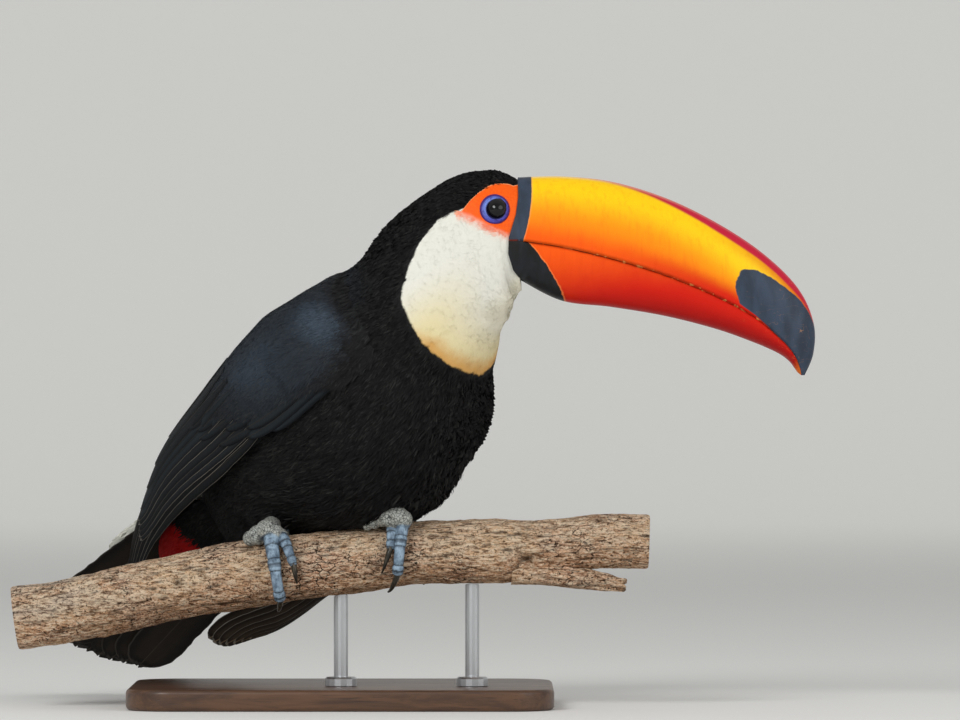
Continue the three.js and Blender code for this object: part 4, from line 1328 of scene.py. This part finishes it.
toeRadius, clawRadius = 3.7, 1.9
footMesh = {
    "sides": 20, "tarsusRings": 26, "toeRings": 90, "clawRings": 40, "tarsusRadii": (6.3, 4.9),
    "voxel": 0.5, "rounds": 5, "batch": 4000,
}
footPlates = {      # where the broad scales of a toe meet, and where its joints swell
    "long": ([0.05, 0.1, 0.16, 0.22, 0.3, 0.39, 0.54, 0.6, 0.65, 0.875, 0.935], [0.6, 0.93]),
    "short": ([0.12, 0.27, 0.44, 0.77, 0.86, 0.94], [0.8]),
}
feet = {
    "right": {"at": -38, "toes": [
        {"name": 1, "shift": 5, "splay": 6, "from": -22, "to": -92, "radius": 0.8, "claw": 26, "hook": 1},
        {"name": 2, "shift": 5, "splay": 7, "from": 36, "to": 86, "radius": 0.86, "claw": 26, "hook": 0.4,
         "crusty": 0.1},
        {"name": 3, "shift": -3.6, "splay": 8, "from": 4, "to": 133, "radius": 1.08, "claw": 30, "hook": -1},
        {"name": 4, "shift": -5, "splay": -9, "from": -22, "to": -112, "radius": 0.95, "claw": 30,
         "hook": -1},
    ], "tarsus": ([-41, -38, 98], [-38, -17, 106]),
        "knuckles": [([-41.5, -43, 100.2], 6.3), ([-46.5, -40.5, 97.6], 5.6), ([-50.8, -37.5, 95.6], 4.4),
                     ([-37, -44, 98.6], 5.3), ([-33.8, -43.5, 97.4], 4.2)]},
    "left": {"at": 30, "toes": [
        {"name": 1, "shift": -5, "splay": -6, "from": -22, "to": -92, "radius": 0.8, "claw": 26, "hook": -1},
        {"name": 2, "shift": -0.5, "splay": -1.5, "from": 36, "to": 80, "radius": 0.86, "claw": 33,
         "hook": -0.8},
        {"name": 3, "shift": 6.5, "splay": -4.5, "from": 4, "to": 116, "radius": 1.04, "claw": 34,
         "hook": -2.2, "crusty": 0.3},
        {"name": 4, "shift": 5, "splay": 9, "from": -22, "to": -112, "radius": 0.95, "claw": 30, "hook": 1},
    ], "tarsus": ([30, -44, 106], [31, -28, 117]),
        "knuckles": [([31.5, -48, 108.4], 6.4), ([35.2, -47.5, 106.4], 5.4), ([27.2, -47, 107.4], 5.2),
                     ([23.4, -43, 106.4], 4.3), ([19.2, -40, 104.2], 3.4), ([15, -38, 102.6], 2.8)]},
}
footTints = {
    "blue": paint(86, 104, 122), "pale": paint(152, 175, 194), "dark": paint(24, 29, 34),
    "crust": paint(180, 178, 164), "claw": paint(30, 26, 20), "clawPale": paint(86, 77, 60),
}


def toePath(foot, toe, start, end, t, lift=0.0):
    degrees = mix(start, end, t)
    turn = np.radians(degrees)
    share = np.abs((degrees - toe["from"]) / (toe["to"] - toe["from"]))
    x = foot["at"] + toe["shift"] + toe["splay"] * np.minimum(share, 1.0)
    x = x + toe["hook"] * np.maximum(share - 1.0, 0) * 8.0
    reach = branch["radius"] + toeRadius * toe["radius"] + 1.6 + lift
    return np.stack([x, branch["y"] - np.sin(turn) * reach, branchHeight(x) + np.cos(turn) * reach], -1)


def fromAxis(centres):
    axis = np.stack([centres[:, 0], 0 * centres[:, 0] + branch["y"], branchHeight(centres[:, 0])], -1)
    return unit(centres - axis)


# a bar along points with its upper side turned towards a direction
def barPoints(centres, away, radii):
    forward = unit(np.gradient(centres, axis=0))
    up = unit(away - forward * (away * forward).sum(-1, keepdims=True))
    side = np.cross(forward, up)
    turn = np.linspace(0, 2 * math.pi, radii.shape[1], endpoint=False)
    ring = up[:, None] * np.cos(turn)[None, :, None] + side[:, None] * np.sin(turn)[None, :, None]
    return centres[:, None] + ring * radii[..., None]


def closedBar(points):
    rows, columns = points.shape[:2]
    hubs = np.stack([points[0].mean(0), points[-1].mean(0)])
    faces = [gridFaces(rows, columns, closed=True), endFaces(rows, columns)]
    return np.vstack([points.reshape(-1, 3), hubs]), faces


# melts closed shells, in millimetres, into one smooth mesh
def fuse(shells, voxel, rounds):
    points, faces = [], []
    for shellPoints, shellFaces in shells:
        for group in shellFaces:
            faces += (group + len(points)).tolist()
        points += shellPoints.tolist()
    mesh = bpy.data.meshes.new("melt")
    mesh.from_pydata(points, [], faces)
    piece = bpy.data.objects.new("melt", mesh)
    bpy.context.scene.collection.objects.link(piece)
    melt = piece.modifiers.new("melt", "REMESH")
    melt.mode = "VOXEL"
    melt.voxel_size = voxel
    ease = piece.modifiers.new("ease", "SMOOTH")
    ease.factor, ease.iterations = 0.5, rounds
    bpy.context.view_layer.update()
    made = piece.evaluated_get(bpy.context.evaluated_depsgraph_get()).to_mesh()
    found = np.empty(len(made.vertices) * 3)
    made.vertices.foreach_get("co", found)
    normals = np.empty(len(made.vertices) * 3)
    made.vertices.foreach_get("normal", normals)
    sides = [np.array([list(p.vertices) for p in made.polygons if len(p.vertices) == n]) for n in (3, 4)]
    bpy.data.objects.remove(piece)
    bpy.data.meshes.remove(mesh)
    return found.reshape(-1, 3), normals.reshape(-1, 3), [s for s in sides if len(s)]


def ball(centre, radius):
    turn = np.linspace(0, math.pi, 14)[1:-1]
    centres = np.array(centre, float) + np.stack([0 * turn, 0 * turn, np.cos(turn) * radius], -1)
    radii = np.repeat(np.sin(turn)[:, None], 16, 1) * radius
    return closedBar(barPoints(centres, np.tile([0.0, -1.0, 0.0], (len(turn), 1)), radii))


def footFinish():
    made = Finish("footSkin", Specular_IOR_Level=0.35)
    place = made.place()
    cloud = made.noise(place, 260.0, 3.0, 0.6)
    cells = made.cells(place, 620.0, feature="DISTANCE_TO_EDGE")
    streak = made.noise(place.stretch(1.0, 1.0, 0.3), 800.0, 3.0, 0.7)
    under = made.read("under")
    colour = made.layers(
        footTints["blue"],
        (cloud.between(0.3, 0.7), footTints["pale"]),
        (under * 0.75, footTints["crust"]),
        (under * cells.between(0.1, 0.02) * 0.85, footTints["dark"]),
        (streak.between(0.52, 0.7) * 0.55, footTints["dark"]),
        (made.read("flank") * 0.6, footTints["dark"]),
        (made.read("groove") * 0.9, footTints["dark"]),
    )
    made.set(Base_Color=colour, Roughness=0.5 + cloud * 0.2)
    made.bump(cloud * 0.3 + streak * 0.4 + cells.between(0.0, 0.12) * under, 0.0005, 0.7)
    return made.material


def clawFinish():
    made = Finish("claws", Roughness=0.35, Specular_IOR_Level=0.4)
    fine = made.noise(made.place().stretch(1, 1, 0.3), 600.0, 3.0, 0.6)
    share = made.read("share")
    colour = made.blend(fine.between(0.4, 0.7) * (1.0 - share), footTints["claw"], footTints["clawPale"])
    made.set(Base_Color=colour)
    made.bump(fine, 0.0002, 0.4)
    return made.material


def addFoot(side, foot, skinMaterial, clawMaterial):
    # a spot: centre, outward, radius, place along, toe number, toe length, 1 where it isn't crusty
    shells, spots = [], []
    sides = footMesh["sides"]
    t = np.linspace(0, 1, footMesh["tarsusRings"])
    low, high = (np.array(p, float) for p in foot["tarsus"])
    centres = low + (high - low) * t[:, None]
    radius = mix(*footMesh["tarsusRadii"], smooth(t))
    out = np.tile([0.0, -0.5, 0.85], (len(t), 1))
    bar = barPoints(centres, out, np.repeat(radius[:, None], sides, 1))
    shells.append(closedBar(clearBranch(bar, 0.2)))
    spots.append((centres, out, radius, -1.0 + 0 * t, 0 * t, 1 + 0 * t, 0 * t))
    shells += [ball(*knuckle) for knuckle in foot["knuckles"]]
    for toe in foot["toes"]:
        t = np.linspace(0, 1, footMesh["toeRings"])
        centres = toePath(foot, toe, toe["from"], toe["to"], t)
        joints = footPlates["long" if toe["name"] in (3, 4) else "short"][1]
        knob = sum(np.exp(-((t - j) / 0.04) ** 2) for j in joints)
        radius = toeRadius * toe["radius"] * (mix(1.04, 0.74, smooth((t - 0.2) / 0.6)) + 0.14 * knob)
        first, last = (np.minimum(1, np.sqrt(np.maximum(v, 0.001) / 0.03)) for v in (t, 1 - t))
        radii = np.repeat((radius * (first * last))[:, None], sides, 1)
        shells.append(closedBar(barPoints(centres, fromAxis(centres), radii)))
        length = np.linalg.norm(np.diff(centres, axis=0), axis=-1).sum()
        bare = (t > toe.get("crusty", 0.0)) * 1.0
        spots.append((centres, fromAxis(centres), radius, t, toe["name"] + 0 * t, length + 0 * t, bare))
    points, normals, faces = fuse(shells, footMesh["voxel"], footMesh["rounds"])
    centres, outward, radius, along, number, length, bare = (np.concatenate(part) for part in zip(*spots))
    nearest, beyond = np.empty(len(points), int), np.empty(len(points))
    for start in range(0, len(points), footMesh["batch"]):
        some = slice(start, start + footMesh["batch"])
        away = np.linalg.norm(points[some, None] - centres[None], axis=-1) - radius[None]
        nearest[some] = away.argmin(1)
        beyond[some] = away.min(1)
    along, number, length, bare = (v[nearest] for v in (along, number, length, bare))
    facing = (unit(points - centres[nearest]) * outward[nearest]).sum(-1)
    over = smooth((facing + 0.25) / 0.5) * (along > 0.02) * bare * smooth((2.6 - beyond) / 1.2)
    groove, swell = np.zeros(len(points)), np.zeros(len(points))
    for kind, members in (("long", (3, 4)), ("short", (1, 2))):
        edges = np.array([0.0] + footPlates[kind][0] + [1.0])
        cell = np.clip(np.searchsorted(edges, along) - 1, 0, len(edges) - 2)
        phase = (along - edges[cell]) / (edges[cell + 1] - edges[cell])
        close = np.abs(along[:, None] - edges[None, 1:-1]).min(1)
        mine = np.isin(number, members)
        groove = np.where(mine, np.exp(-(close * length / 0.45) ** 2), groove)
        swell = np.where(mine, np.sin(math.pi * np.clip(phase, 0, 1)) ** 0.4, swell)
    # where the broad scales end at the side
    edge = np.exp(-((facing + 0.12) / 0.13) ** 2) * (along > 0.06)
    groove = np.maximum(groove * over, edge * 0.75)
    push = radius[nearest] * 0.09 * swell * over - 0.35 * groove
    points = points + normals * push[:, None]
    names = tuple(f"toe_{side}_{toe['name']}" for toe in foot["toes"])
    flank = np.exp(-((facing - 0.28) / 0.22) ** 2) * (along > 0.08)
    values = {"groove": groove, "under": 1 - over, "flank": flank}
    addMesh(f"foot_{side}", points, faces, skinMaterial, values, None,
            (f"tarsus_{side}",) + names)
    print("foot", side, len(points), "points")
    for toe in foot["toes"]:
        way = math.copysign(1, toe["to"] - toe["from"])
        start = toe["to"] - way * 2.0
        t = np.linspace(0, 1, footMesh["clawRings"])
        bow = 1.1 * np.sin(math.pi * t) - 1.3 * t * t
        centres = toePath(foot, toe, start, start + way * (toe["claw"] + 2.0), t, bow)
        radius = clawRadius * mix(1.2, 0.28, t ** 1.4)
        turn = np.linspace(0, 2 * math.pi, sides, endpoint=False)
        radii = radius[:, None] * (1 - 0.22 * np.abs(np.sin(turn)))[None]
        points, faces = closedBar(barPoints(centres, fromAxis(centres), radii))
        own = f"claw_{side}_{toe['name']}"
        values = {"share": np.append(np.repeat(t, sides), [0, 1])}
        addMesh("horn_" + own, points, faces, clawMaterial, values, None, (own,))


footMaterial, clawMaterial = footFinish(), clawFinish()
for side, foot in feet.items():
    addFoot(side, foot, footMaterial, clawMaterial)
print("feet made")


# perch: a weathered length of branch, sawn at both ends, with the stump of a split side piece

barkTints = {
    "tan": paint(226, 188, 148), "pink": paint(220, 176, 146), "dark": paint(92, 62, 40),
    "grey": paint(164, 152, 138), "pale": paint(242, 222, 194), "crack": paint(40, 27, 18),
    "cut": paint(196, 164, 124),
    "ring": paint(142, 108, 74), "rust": paint(200, 134, 84), "wearAndSheen": paint(212, 198, 182),
}


def barkFinish():
    made = Finish("bark", Specular_IOR_Level=0.12)
    place = made.place()
    # the bark lies in thin flakes drawn out along the branch
    drift = made.node("ShaderNodeTexNoise", {}, {"Vector": place, "Scale": 140.0, "Detail": 4.0}, 1)
    moved = {0: drift, 1: (0.007,) * 3, 2: place}
    bent = made.node("ShaderNodeVectorMath", {"operation": "MULTIPLY_ADD"}, moved)
    drawn = bent.stretch(0.28, 1, 1)
    flakes = made.cells(drawn, 520.0)
    luck = made.cells(drawn, 520.0, 1).part("X")
    gaps = made.cells(bent.stretch(0.3, 1, 1), 300.0, feature="DISTANCE_TO_EDGE")
    hair = made.noise(place.stretch(0.25, 1.0, 1.0), 800.0, 5.0, 0.8, 0.6)
    broad = made.noise(place.stretch(0.4, 1.0, 1.0), 60.0, 4.0, 0.6, 0.6)
    patchy = made.noise(place, 26.0, 4.0, 0.6)
    speck = made.noise(place, 900.0, 4.0, 0.7)
    cracked = gaps.between(0.06, 0.02) * (patchy * 0.6 + speck * 0.7).between(0.63, 0.73)
    greyed = place.part("X").between(-0.07, -0.17) * broad.between(0.38, 0.6)
    colour = made.layers(
        barkTints["tan"],
        (patchy.between(0.35, 0.65), barkTints["pink"]),
        (greyed * 0.7, barkTints["wearAndSheen"]),
        (luck.between(0.55, 0.95) * 0.55, barkTints["pale"]),
        (luck.between(0.3, 0.05) * 0.5, barkTints["grey"]),
        (broad.between(0.44, 0.28) * 0.4, barkTints["rust"]),
        (made.read("below") * (0.3 + speck * 0.4), barkTints["rust"]),
        (hair.between(0.51, 0.57) * 0.8, barkTints["pale"]),
        (hair.between(0.48, 0.42) * 0.85, barkTints["dark"]),
        (speck.between(0.45, 0.34) * 0.6, barkTints["pale"]),
        (speck.between(0.56, 0.64) * 0.75, barkTints["dark"]),
        (cracked * 0.95, barkTints["crack"]),
        # the crack colour in low places and knot holes: painted shade of the recesses
        (made.read("hollowShade"), barkTints["crack"]),
    )
    radial = made.read("radial")
    rings = ((radial + patchy * 0.06) * 95.0).wave() * 0.5 + 0.5
    wood = made.blend(rings * 0.6, barkTints["cut"], barkTints["ring"])
    wood = made.blend(radial.between(0.9, 0.97), wood, barkTints["dark"])
    colour = made.blend(made.read("cut").between(0.4, 0.6), colour, wood)
    made.set(Base_Color=colour, Roughness=0.92 - broad * 0.15)
    made.bump(flakes * -0.5 + hair * 0.9 + speck * 0.5 - cracked * 1.1, 0.0021, 0.95)
    return made.material


# a rough field over a branch, by place along it and angle around it
def roughness(x, turn, seed, along, around):
    rough = np.empty(x.shape)
    for index in np.ndindex(x.shape):
        a, b = float(x[index]), float(turn[index])
        spot = Vector((a * along, math.cos(b) * around + seed, math.sin(b) * around))
        rough[index] = noise.fractal(spot, 0.9, 2.1, 5)
    return rough


# place along, angle around, size and rise; angle 90 is the top, 180 the near side
knots = [
    (-91, 170, 5.5, -1.8), (146, 130, 8.0, 1.5), (-20, 60, 6.0, 0.9), (60, 150, 5.0, 0.8),
    (-150, 120, 6.0, 1.0), (104, 205, 9.0, -3.2), (20, 200, 4.0, -0.8), (-120, 215, 5.0, 0.9),
]
stub = {"from": [97.0, -33, 78], "to": [161.0, -35, 69.5], "rings": 140, "sides": 56, "radii": (8.0, 4.0)}


def addPerch():
    material = barkFinish()
    rows, columns = branch["rings"], branch["sides"]
    x = np.linspace(branch["from"] + 0.3, branch["to"] - 0.3, rows)
    turn = np.linspace(0, 2 * math.pi, columns, endpoint=False)
    place, angle = np.meshgrid(x, turn, indexing="ij")
    height = branchHeight(x)
    lean = np.arctan(np.gradient(height, x))[:, None]
    thinned = smooth((place - branch["thinFrom"]) / branch["thinOver"])
    radius = mix(branch["radius"], branch["endRadius"], thinned)
    wave = np.sin(2 * angle + place * 0.031) * 0.5 + np.sin(3 * angle - place * 0.047) * 0.35
    rough = roughness(place, angle, 0.0, 0.04, 2.4)
    ridges = roughness(place, angle, 7.0, 0.03, 7.0)
    flakes = roughness(place, angle, 3.0, 0.09, 14.0)
    radius = radius + np.sin(place * 0.09) * 0.4 + wave + rough * 0.8 + ridges * 0.6 + flakes * 0.45 - 0.8
    # painted shade: the bark's low places darken
    hollowShade = smooth((-0.28 - flakes - ridges * 0.5) / 0.5) * 0.75
    for along, around, size, rise in knots:
        turned = (angle - math.radians(around) + math.pi) % (2 * math.pi) - math.pi
        near = np.hypot(place - along, turned * branch["radius"]) / size
        collar = 0.5 * abs(rise) * np.exp(-((near - 0.25) * 5) ** 2)
        radius = radius + rise * np.exp(-near ** 2 * 1.6) - collar
        # knots darken at their centre: their own colour on raised knots, painted shade in the sunken ones
        hollowShade = np.maximum(hollowShade, np.exp(-(near * 2.6) ** 2) * (0.9 if rise < 0 else 0.5))
    edge = smooth((1.5 - (place - x[0])) / 1.5) + smooth((1.5 - (x[-1] - place)) / 1.5)
    radius = np.minimum(radius * (1 - 0.04 * edge), mix(*branch["limits"], thinned))
    points = np.stack([
        place - np.sin(lean) * np.sin(angle) * radius,
        branch["y"] + np.cos(angle) * radius,
        height[:, None] + np.cos(lean) * np.sin(angle) * radius,
    ], -1)
    allFaces, allPoints = [gridFaces(rows, columns, closed=True)], [points.reshape(-1, 3)]
    cut, radial = [np.zeros(rows * columns)], [np.ones(rows * columns)]
    shares = np.linspace(1.0, 0.02, 14)
    for row, outward in ((0, -1.0), (rows - 1, 1.0)):
        start = sum(len(a) for a in allPoints)
        middle = points[row].mean(0)
        disc = middle + (points[row][None] - middle) * shares[:, None, None]
        disc[..., 0] += 0.15 * np.sin(disc[..., 2] * 2.4) * (shares < 0.98)[:, None]
        allPoints.append(disc.reshape(-1, 3))
        cap = gridFaces(len(shares), columns, closed=True) + start
        allFaces.append(cap[:, ::-1] if outward < 0 else cap)
        cut.append(np.ones(disc[..., 0].size))
        radial.append(np.repeat(shares, columns))
    rest = np.zeros(2 * len(shares) * columns)
    values = {
        "hollowShade": np.concatenate([hollowShade.ravel(), rest]),
        "below": np.concatenate([smooth(0.3 - np.sin(angle)).ravel(), rest]),
        "cut": np.concatenate(cut), "radial": np.concatenate(radial),
    }
    addMesh("branch", np.vstack(allPoints), np.vstack(allFaces), material, values, None, ("perch",))
    addStub(material)


# the split side piece under the branch
def addStub(material):
    low, high = np.array(stub["from"]), np.array(stub["to"])
    t = np.linspace(0, 1, stub["rings"])
    centres = low + (high - low) * t[:, None]
    turn = np.linspace(0, 2 * math.pi, stub["sides"], endpoint=False)
    grid, angle = np.meshgrid(t, turn, indexing="ij")
    radii = mix(*stub["radii"], grid) * (1 + 0.12 * np.sin(3 * angle + 5 * grid))
    splinter = roughness(grid * 60, angle, 4.0, 0.04, 2.4)
    jagged = (1 + np.sin(angle * 5 + 1)) * (1 + 0.6 * np.sin(angle * 3))
    radii = radii + splinter * 1.0 - 0.9 * smooth((grid - 0.82) / 0.18) * jagged
    points = barPoints(centres, np.tile([0.0, 0.0, 1.0], (len(t), 1)), np.maximum(radii, 0.3))
    points[..., 0] += smooth((grid - 0.8) / 0.2) * (1.4 * np.sin(angle * 4) - 1.4)
    points, faces = closedBar(points)
    extra = grid.size + 2
    addMesh("split_piece", points, faces, material, {
        # painted shade where the split piece dips
        "hollowShade": np.append(smooth((0.1 - splinter.ravel()) / 0.5) * 0.3, [0.5, 0.5]),
        "cut": np.zeros(extra), "radial": np.ones(extra), "below": np.full(extra, 0.4),
    }, None, ("perch_stub",))


addPerch()
print("perch made")


# stand: a plain rounded board and two steel rods

stand = {
    "length": 240.0, "width": 170.0, "height": 12.0, "corner": 26.0, "round": 2.6, "cornerSteps": 14,
    "edgeSteps": 8,
}


def boardFinish():
    made = Finish("board", Specular_IOR_Level=0.4, Coat_Weight=0.3, Coat_Roughness=0.25)
    place = made.place()
    drawn = place.stretch(0.12, 1.0, 1.0)
    grain = made.noise(drawn, 150.0, 5.0, 0.65, 0.8)
    pores = made.noise(place.stretch(0.05, 1.0, 1.0), 900.0, 2.0)
    colour = made.blend(grain.between(0.3, 0.7), paint(96, 66, 44), paint(62, 40, 26))
    colour = made.blend(pores.between(0.6, 0.72) * 0.5, colour, paint(38, 24, 16))
    made.set(Base_Color=colour, Roughness=0.42 + grain * 0.16)
    made.bump(grain * 0.3 - pores.between(0.6, 0.72) * 0.4, 0.0003, 0.5)
    return made.material


def steelFinish():
    made = Finish("steel", Metallic=1.0, Base_Color=paint(196, 198, 200))
    lines = made.noise(made.place().stretch(1.0, 1.0, 40.0), 60.0, 3.0, 0.6)
    made.set(Roughness=0.26 + lines * 0.2)
    made.bump(lines, 0.0001, 0.4)
    return made.material


def addStand():
    corner = np.linspace(0, math.pi / 2, stand["cornerSteps"])
    profile = np.linspace(0, math.pi / 2, stand["edgeSteps"])
    inset = stand["round"] * (1 - np.sin(profile))
    rise = stand["round"] * (1 - np.cos(profile))
    lower = list(zip(inset, rise))
    levels = lower + [(pull, stand["height"] - z) for pull, z in reversed(lower)]
    rings = []
    for pull, z in levels:
        ring = []
        for quarter, (sx, sy) in enumerate(((1, 1), (-1, 1), (-1, -1), (1, -1))):
            for a in corner + quarter * math.pi / 2:
                reach = stand["corner"] - pull
                ring.append([sx * (stand["length"] / 2 - stand["corner"]) + reach * math.cos(a),
                             sy * (stand["width"] / 2 - stand["corner"]) + reach * math.sin(a), z])
        rings.append(ring)
    rings.insert(0, (np.array(rings[0]) * [0.5, 0.5, 1]).tolist())
    rings.append((np.array(rings[-1]) * [0.5, 0.5, 1]).tolist())
    points, faces = closedBar(np.array(rings, float))
    faces = [group[:, ::-1] for group in faces]
    addMesh("board", points, faces, boardFinish(), None, None, ("stand_base",))
    steel = steelFinish()
    for node in ("stand_rod_1", "stand_rod_2"):
        rod = bpy.data.objects[node]
        rod.material_slots[0].material = steel


addStand()
print("stand made")


# camera, light and floor

studio = {     # in metres, but lens and sensor in millimetres, lamps in watts
    "camera": (0.0784, -4.54, 0.196), "lens": 300.0, "sensor": 36.0, "aim": (0, 0, 0.18), "world": 0.46,
    "lamps": {
        "key": {"place": (-1.2, -2.3, 1.7), "size": 1.3, "watts": 44.0},
        "fill": {"place": (1.8, -1.4, 1.0), "size": 1.6, "watts": 13.0},
    },
    "floorFrom": -6.0, "bend": 5.4, "bendRadius": 1.2, "wall": 5.0, "half": 6,
    "paleFrom": 2.0, "paleTo": 5.5,
}


def addLamp(name, settings):
    lamp = bpy.data.lights.new(name, "AREA")
    lamp.shape = "DISK"
    lamp.size = settings["size"]
    lamp.energy = settings["watts"]
    made = bpy.data.objects.new(name, lamp)
    made.location = settings["place"]
    ray = Vector(studio["aim"]) - Vector(settings["place"])
    made.rotation_euler = ray.to_track_quat("-Z", "Y").to_euler()
    bpy.context.scene.collection.objects.link(made)


# the floor's far part and the wall look pale to the camera and in what mirrors them
def floorFinish():
    made = Finish("floor", Roughness=0.9, Specular_IOR_Level=0.1)
    grain = made.noise(made.place(), 3.0, 2.0)
    made.set(Base_Color=made.blend(grain * 0.2, paint(236, 236, 233), paint(229, 229, 227)))
    kinds = ("Camera", "Glossy", "Transmission")
    rays = [made.node("ShaderNodeLightPath", {}, {}, f"Is {kind} Ray") for kind in kinds]
    far = made.place().part("Y").between(studio["paleFrom"], studio["paleTo"])
    shown = far * (rays[0] + rays[1] + rays[2])
    made.set(Emission_Color=made.blend(shown, paint(0, 0, 0), paint(112, 112, 110)), Emission_Strength=1.0)
    return made.material


# a floor that bends up into a wall
def addFloor():
    curve = np.linspace(0.1, 1.57, 16)
    bend, radius = studio["bend"], studio["bendRadius"]
    level = np.linspace(studio["floorFrom"], bend, 12)
    reach = np.concatenate([level, bend + radius * np.sin(curve), [bend + radius]])
    rise = np.concatenate([0 * level, radius - radius * np.cos(curve), [studio["wall"]]])
    points = [[x, y, z] for y, z in zip(reach, rise) for x in (-studio["half"], studio["half"])]
    mesh = bpy.data.meshes.new("floor")
    mesh.from_pydata(points, [], gridFaces(len(reach), 2).tolist())
    mesh.polygons.foreach_set("use_smooth", [True] * len(mesh.polygons))
    mesh.materials.append(floorFinish())
    floor = bpy.data.objects.new("floor", mesh)
    bpy.context.scene.collection.objects.link(floor)


def addStudio():
    scene = bpy.context.scene
    camera = bpy.data.objects.new("camera", bpy.data.cameras.new("camera"))
    camera.location = studio["camera"]
    camera.rotation_euler = (math.pi / 2, 0, 0)
    camera.data.lens = studio["lens"]
    camera.data.sensor_width = studio["sensor"]
    scene.collection.objects.link(camera)
    scene.camera = camera
    scene.view_settings.view_transform = "Standard"
    for name, settings in studio["lamps"].items():
        addLamp(name, settings)
    world = bpy.data.worlds.new("world")
    world.use_nodes = True
    world.node_tree.nodes["Background"].inputs["Color"].default_value = (1, 1, 1, 1)
    world.node_tree.nodes["Background"].inputs["Strength"].default_value = studio["world"]
    scene.world = world
    addFloor()


addStudio()
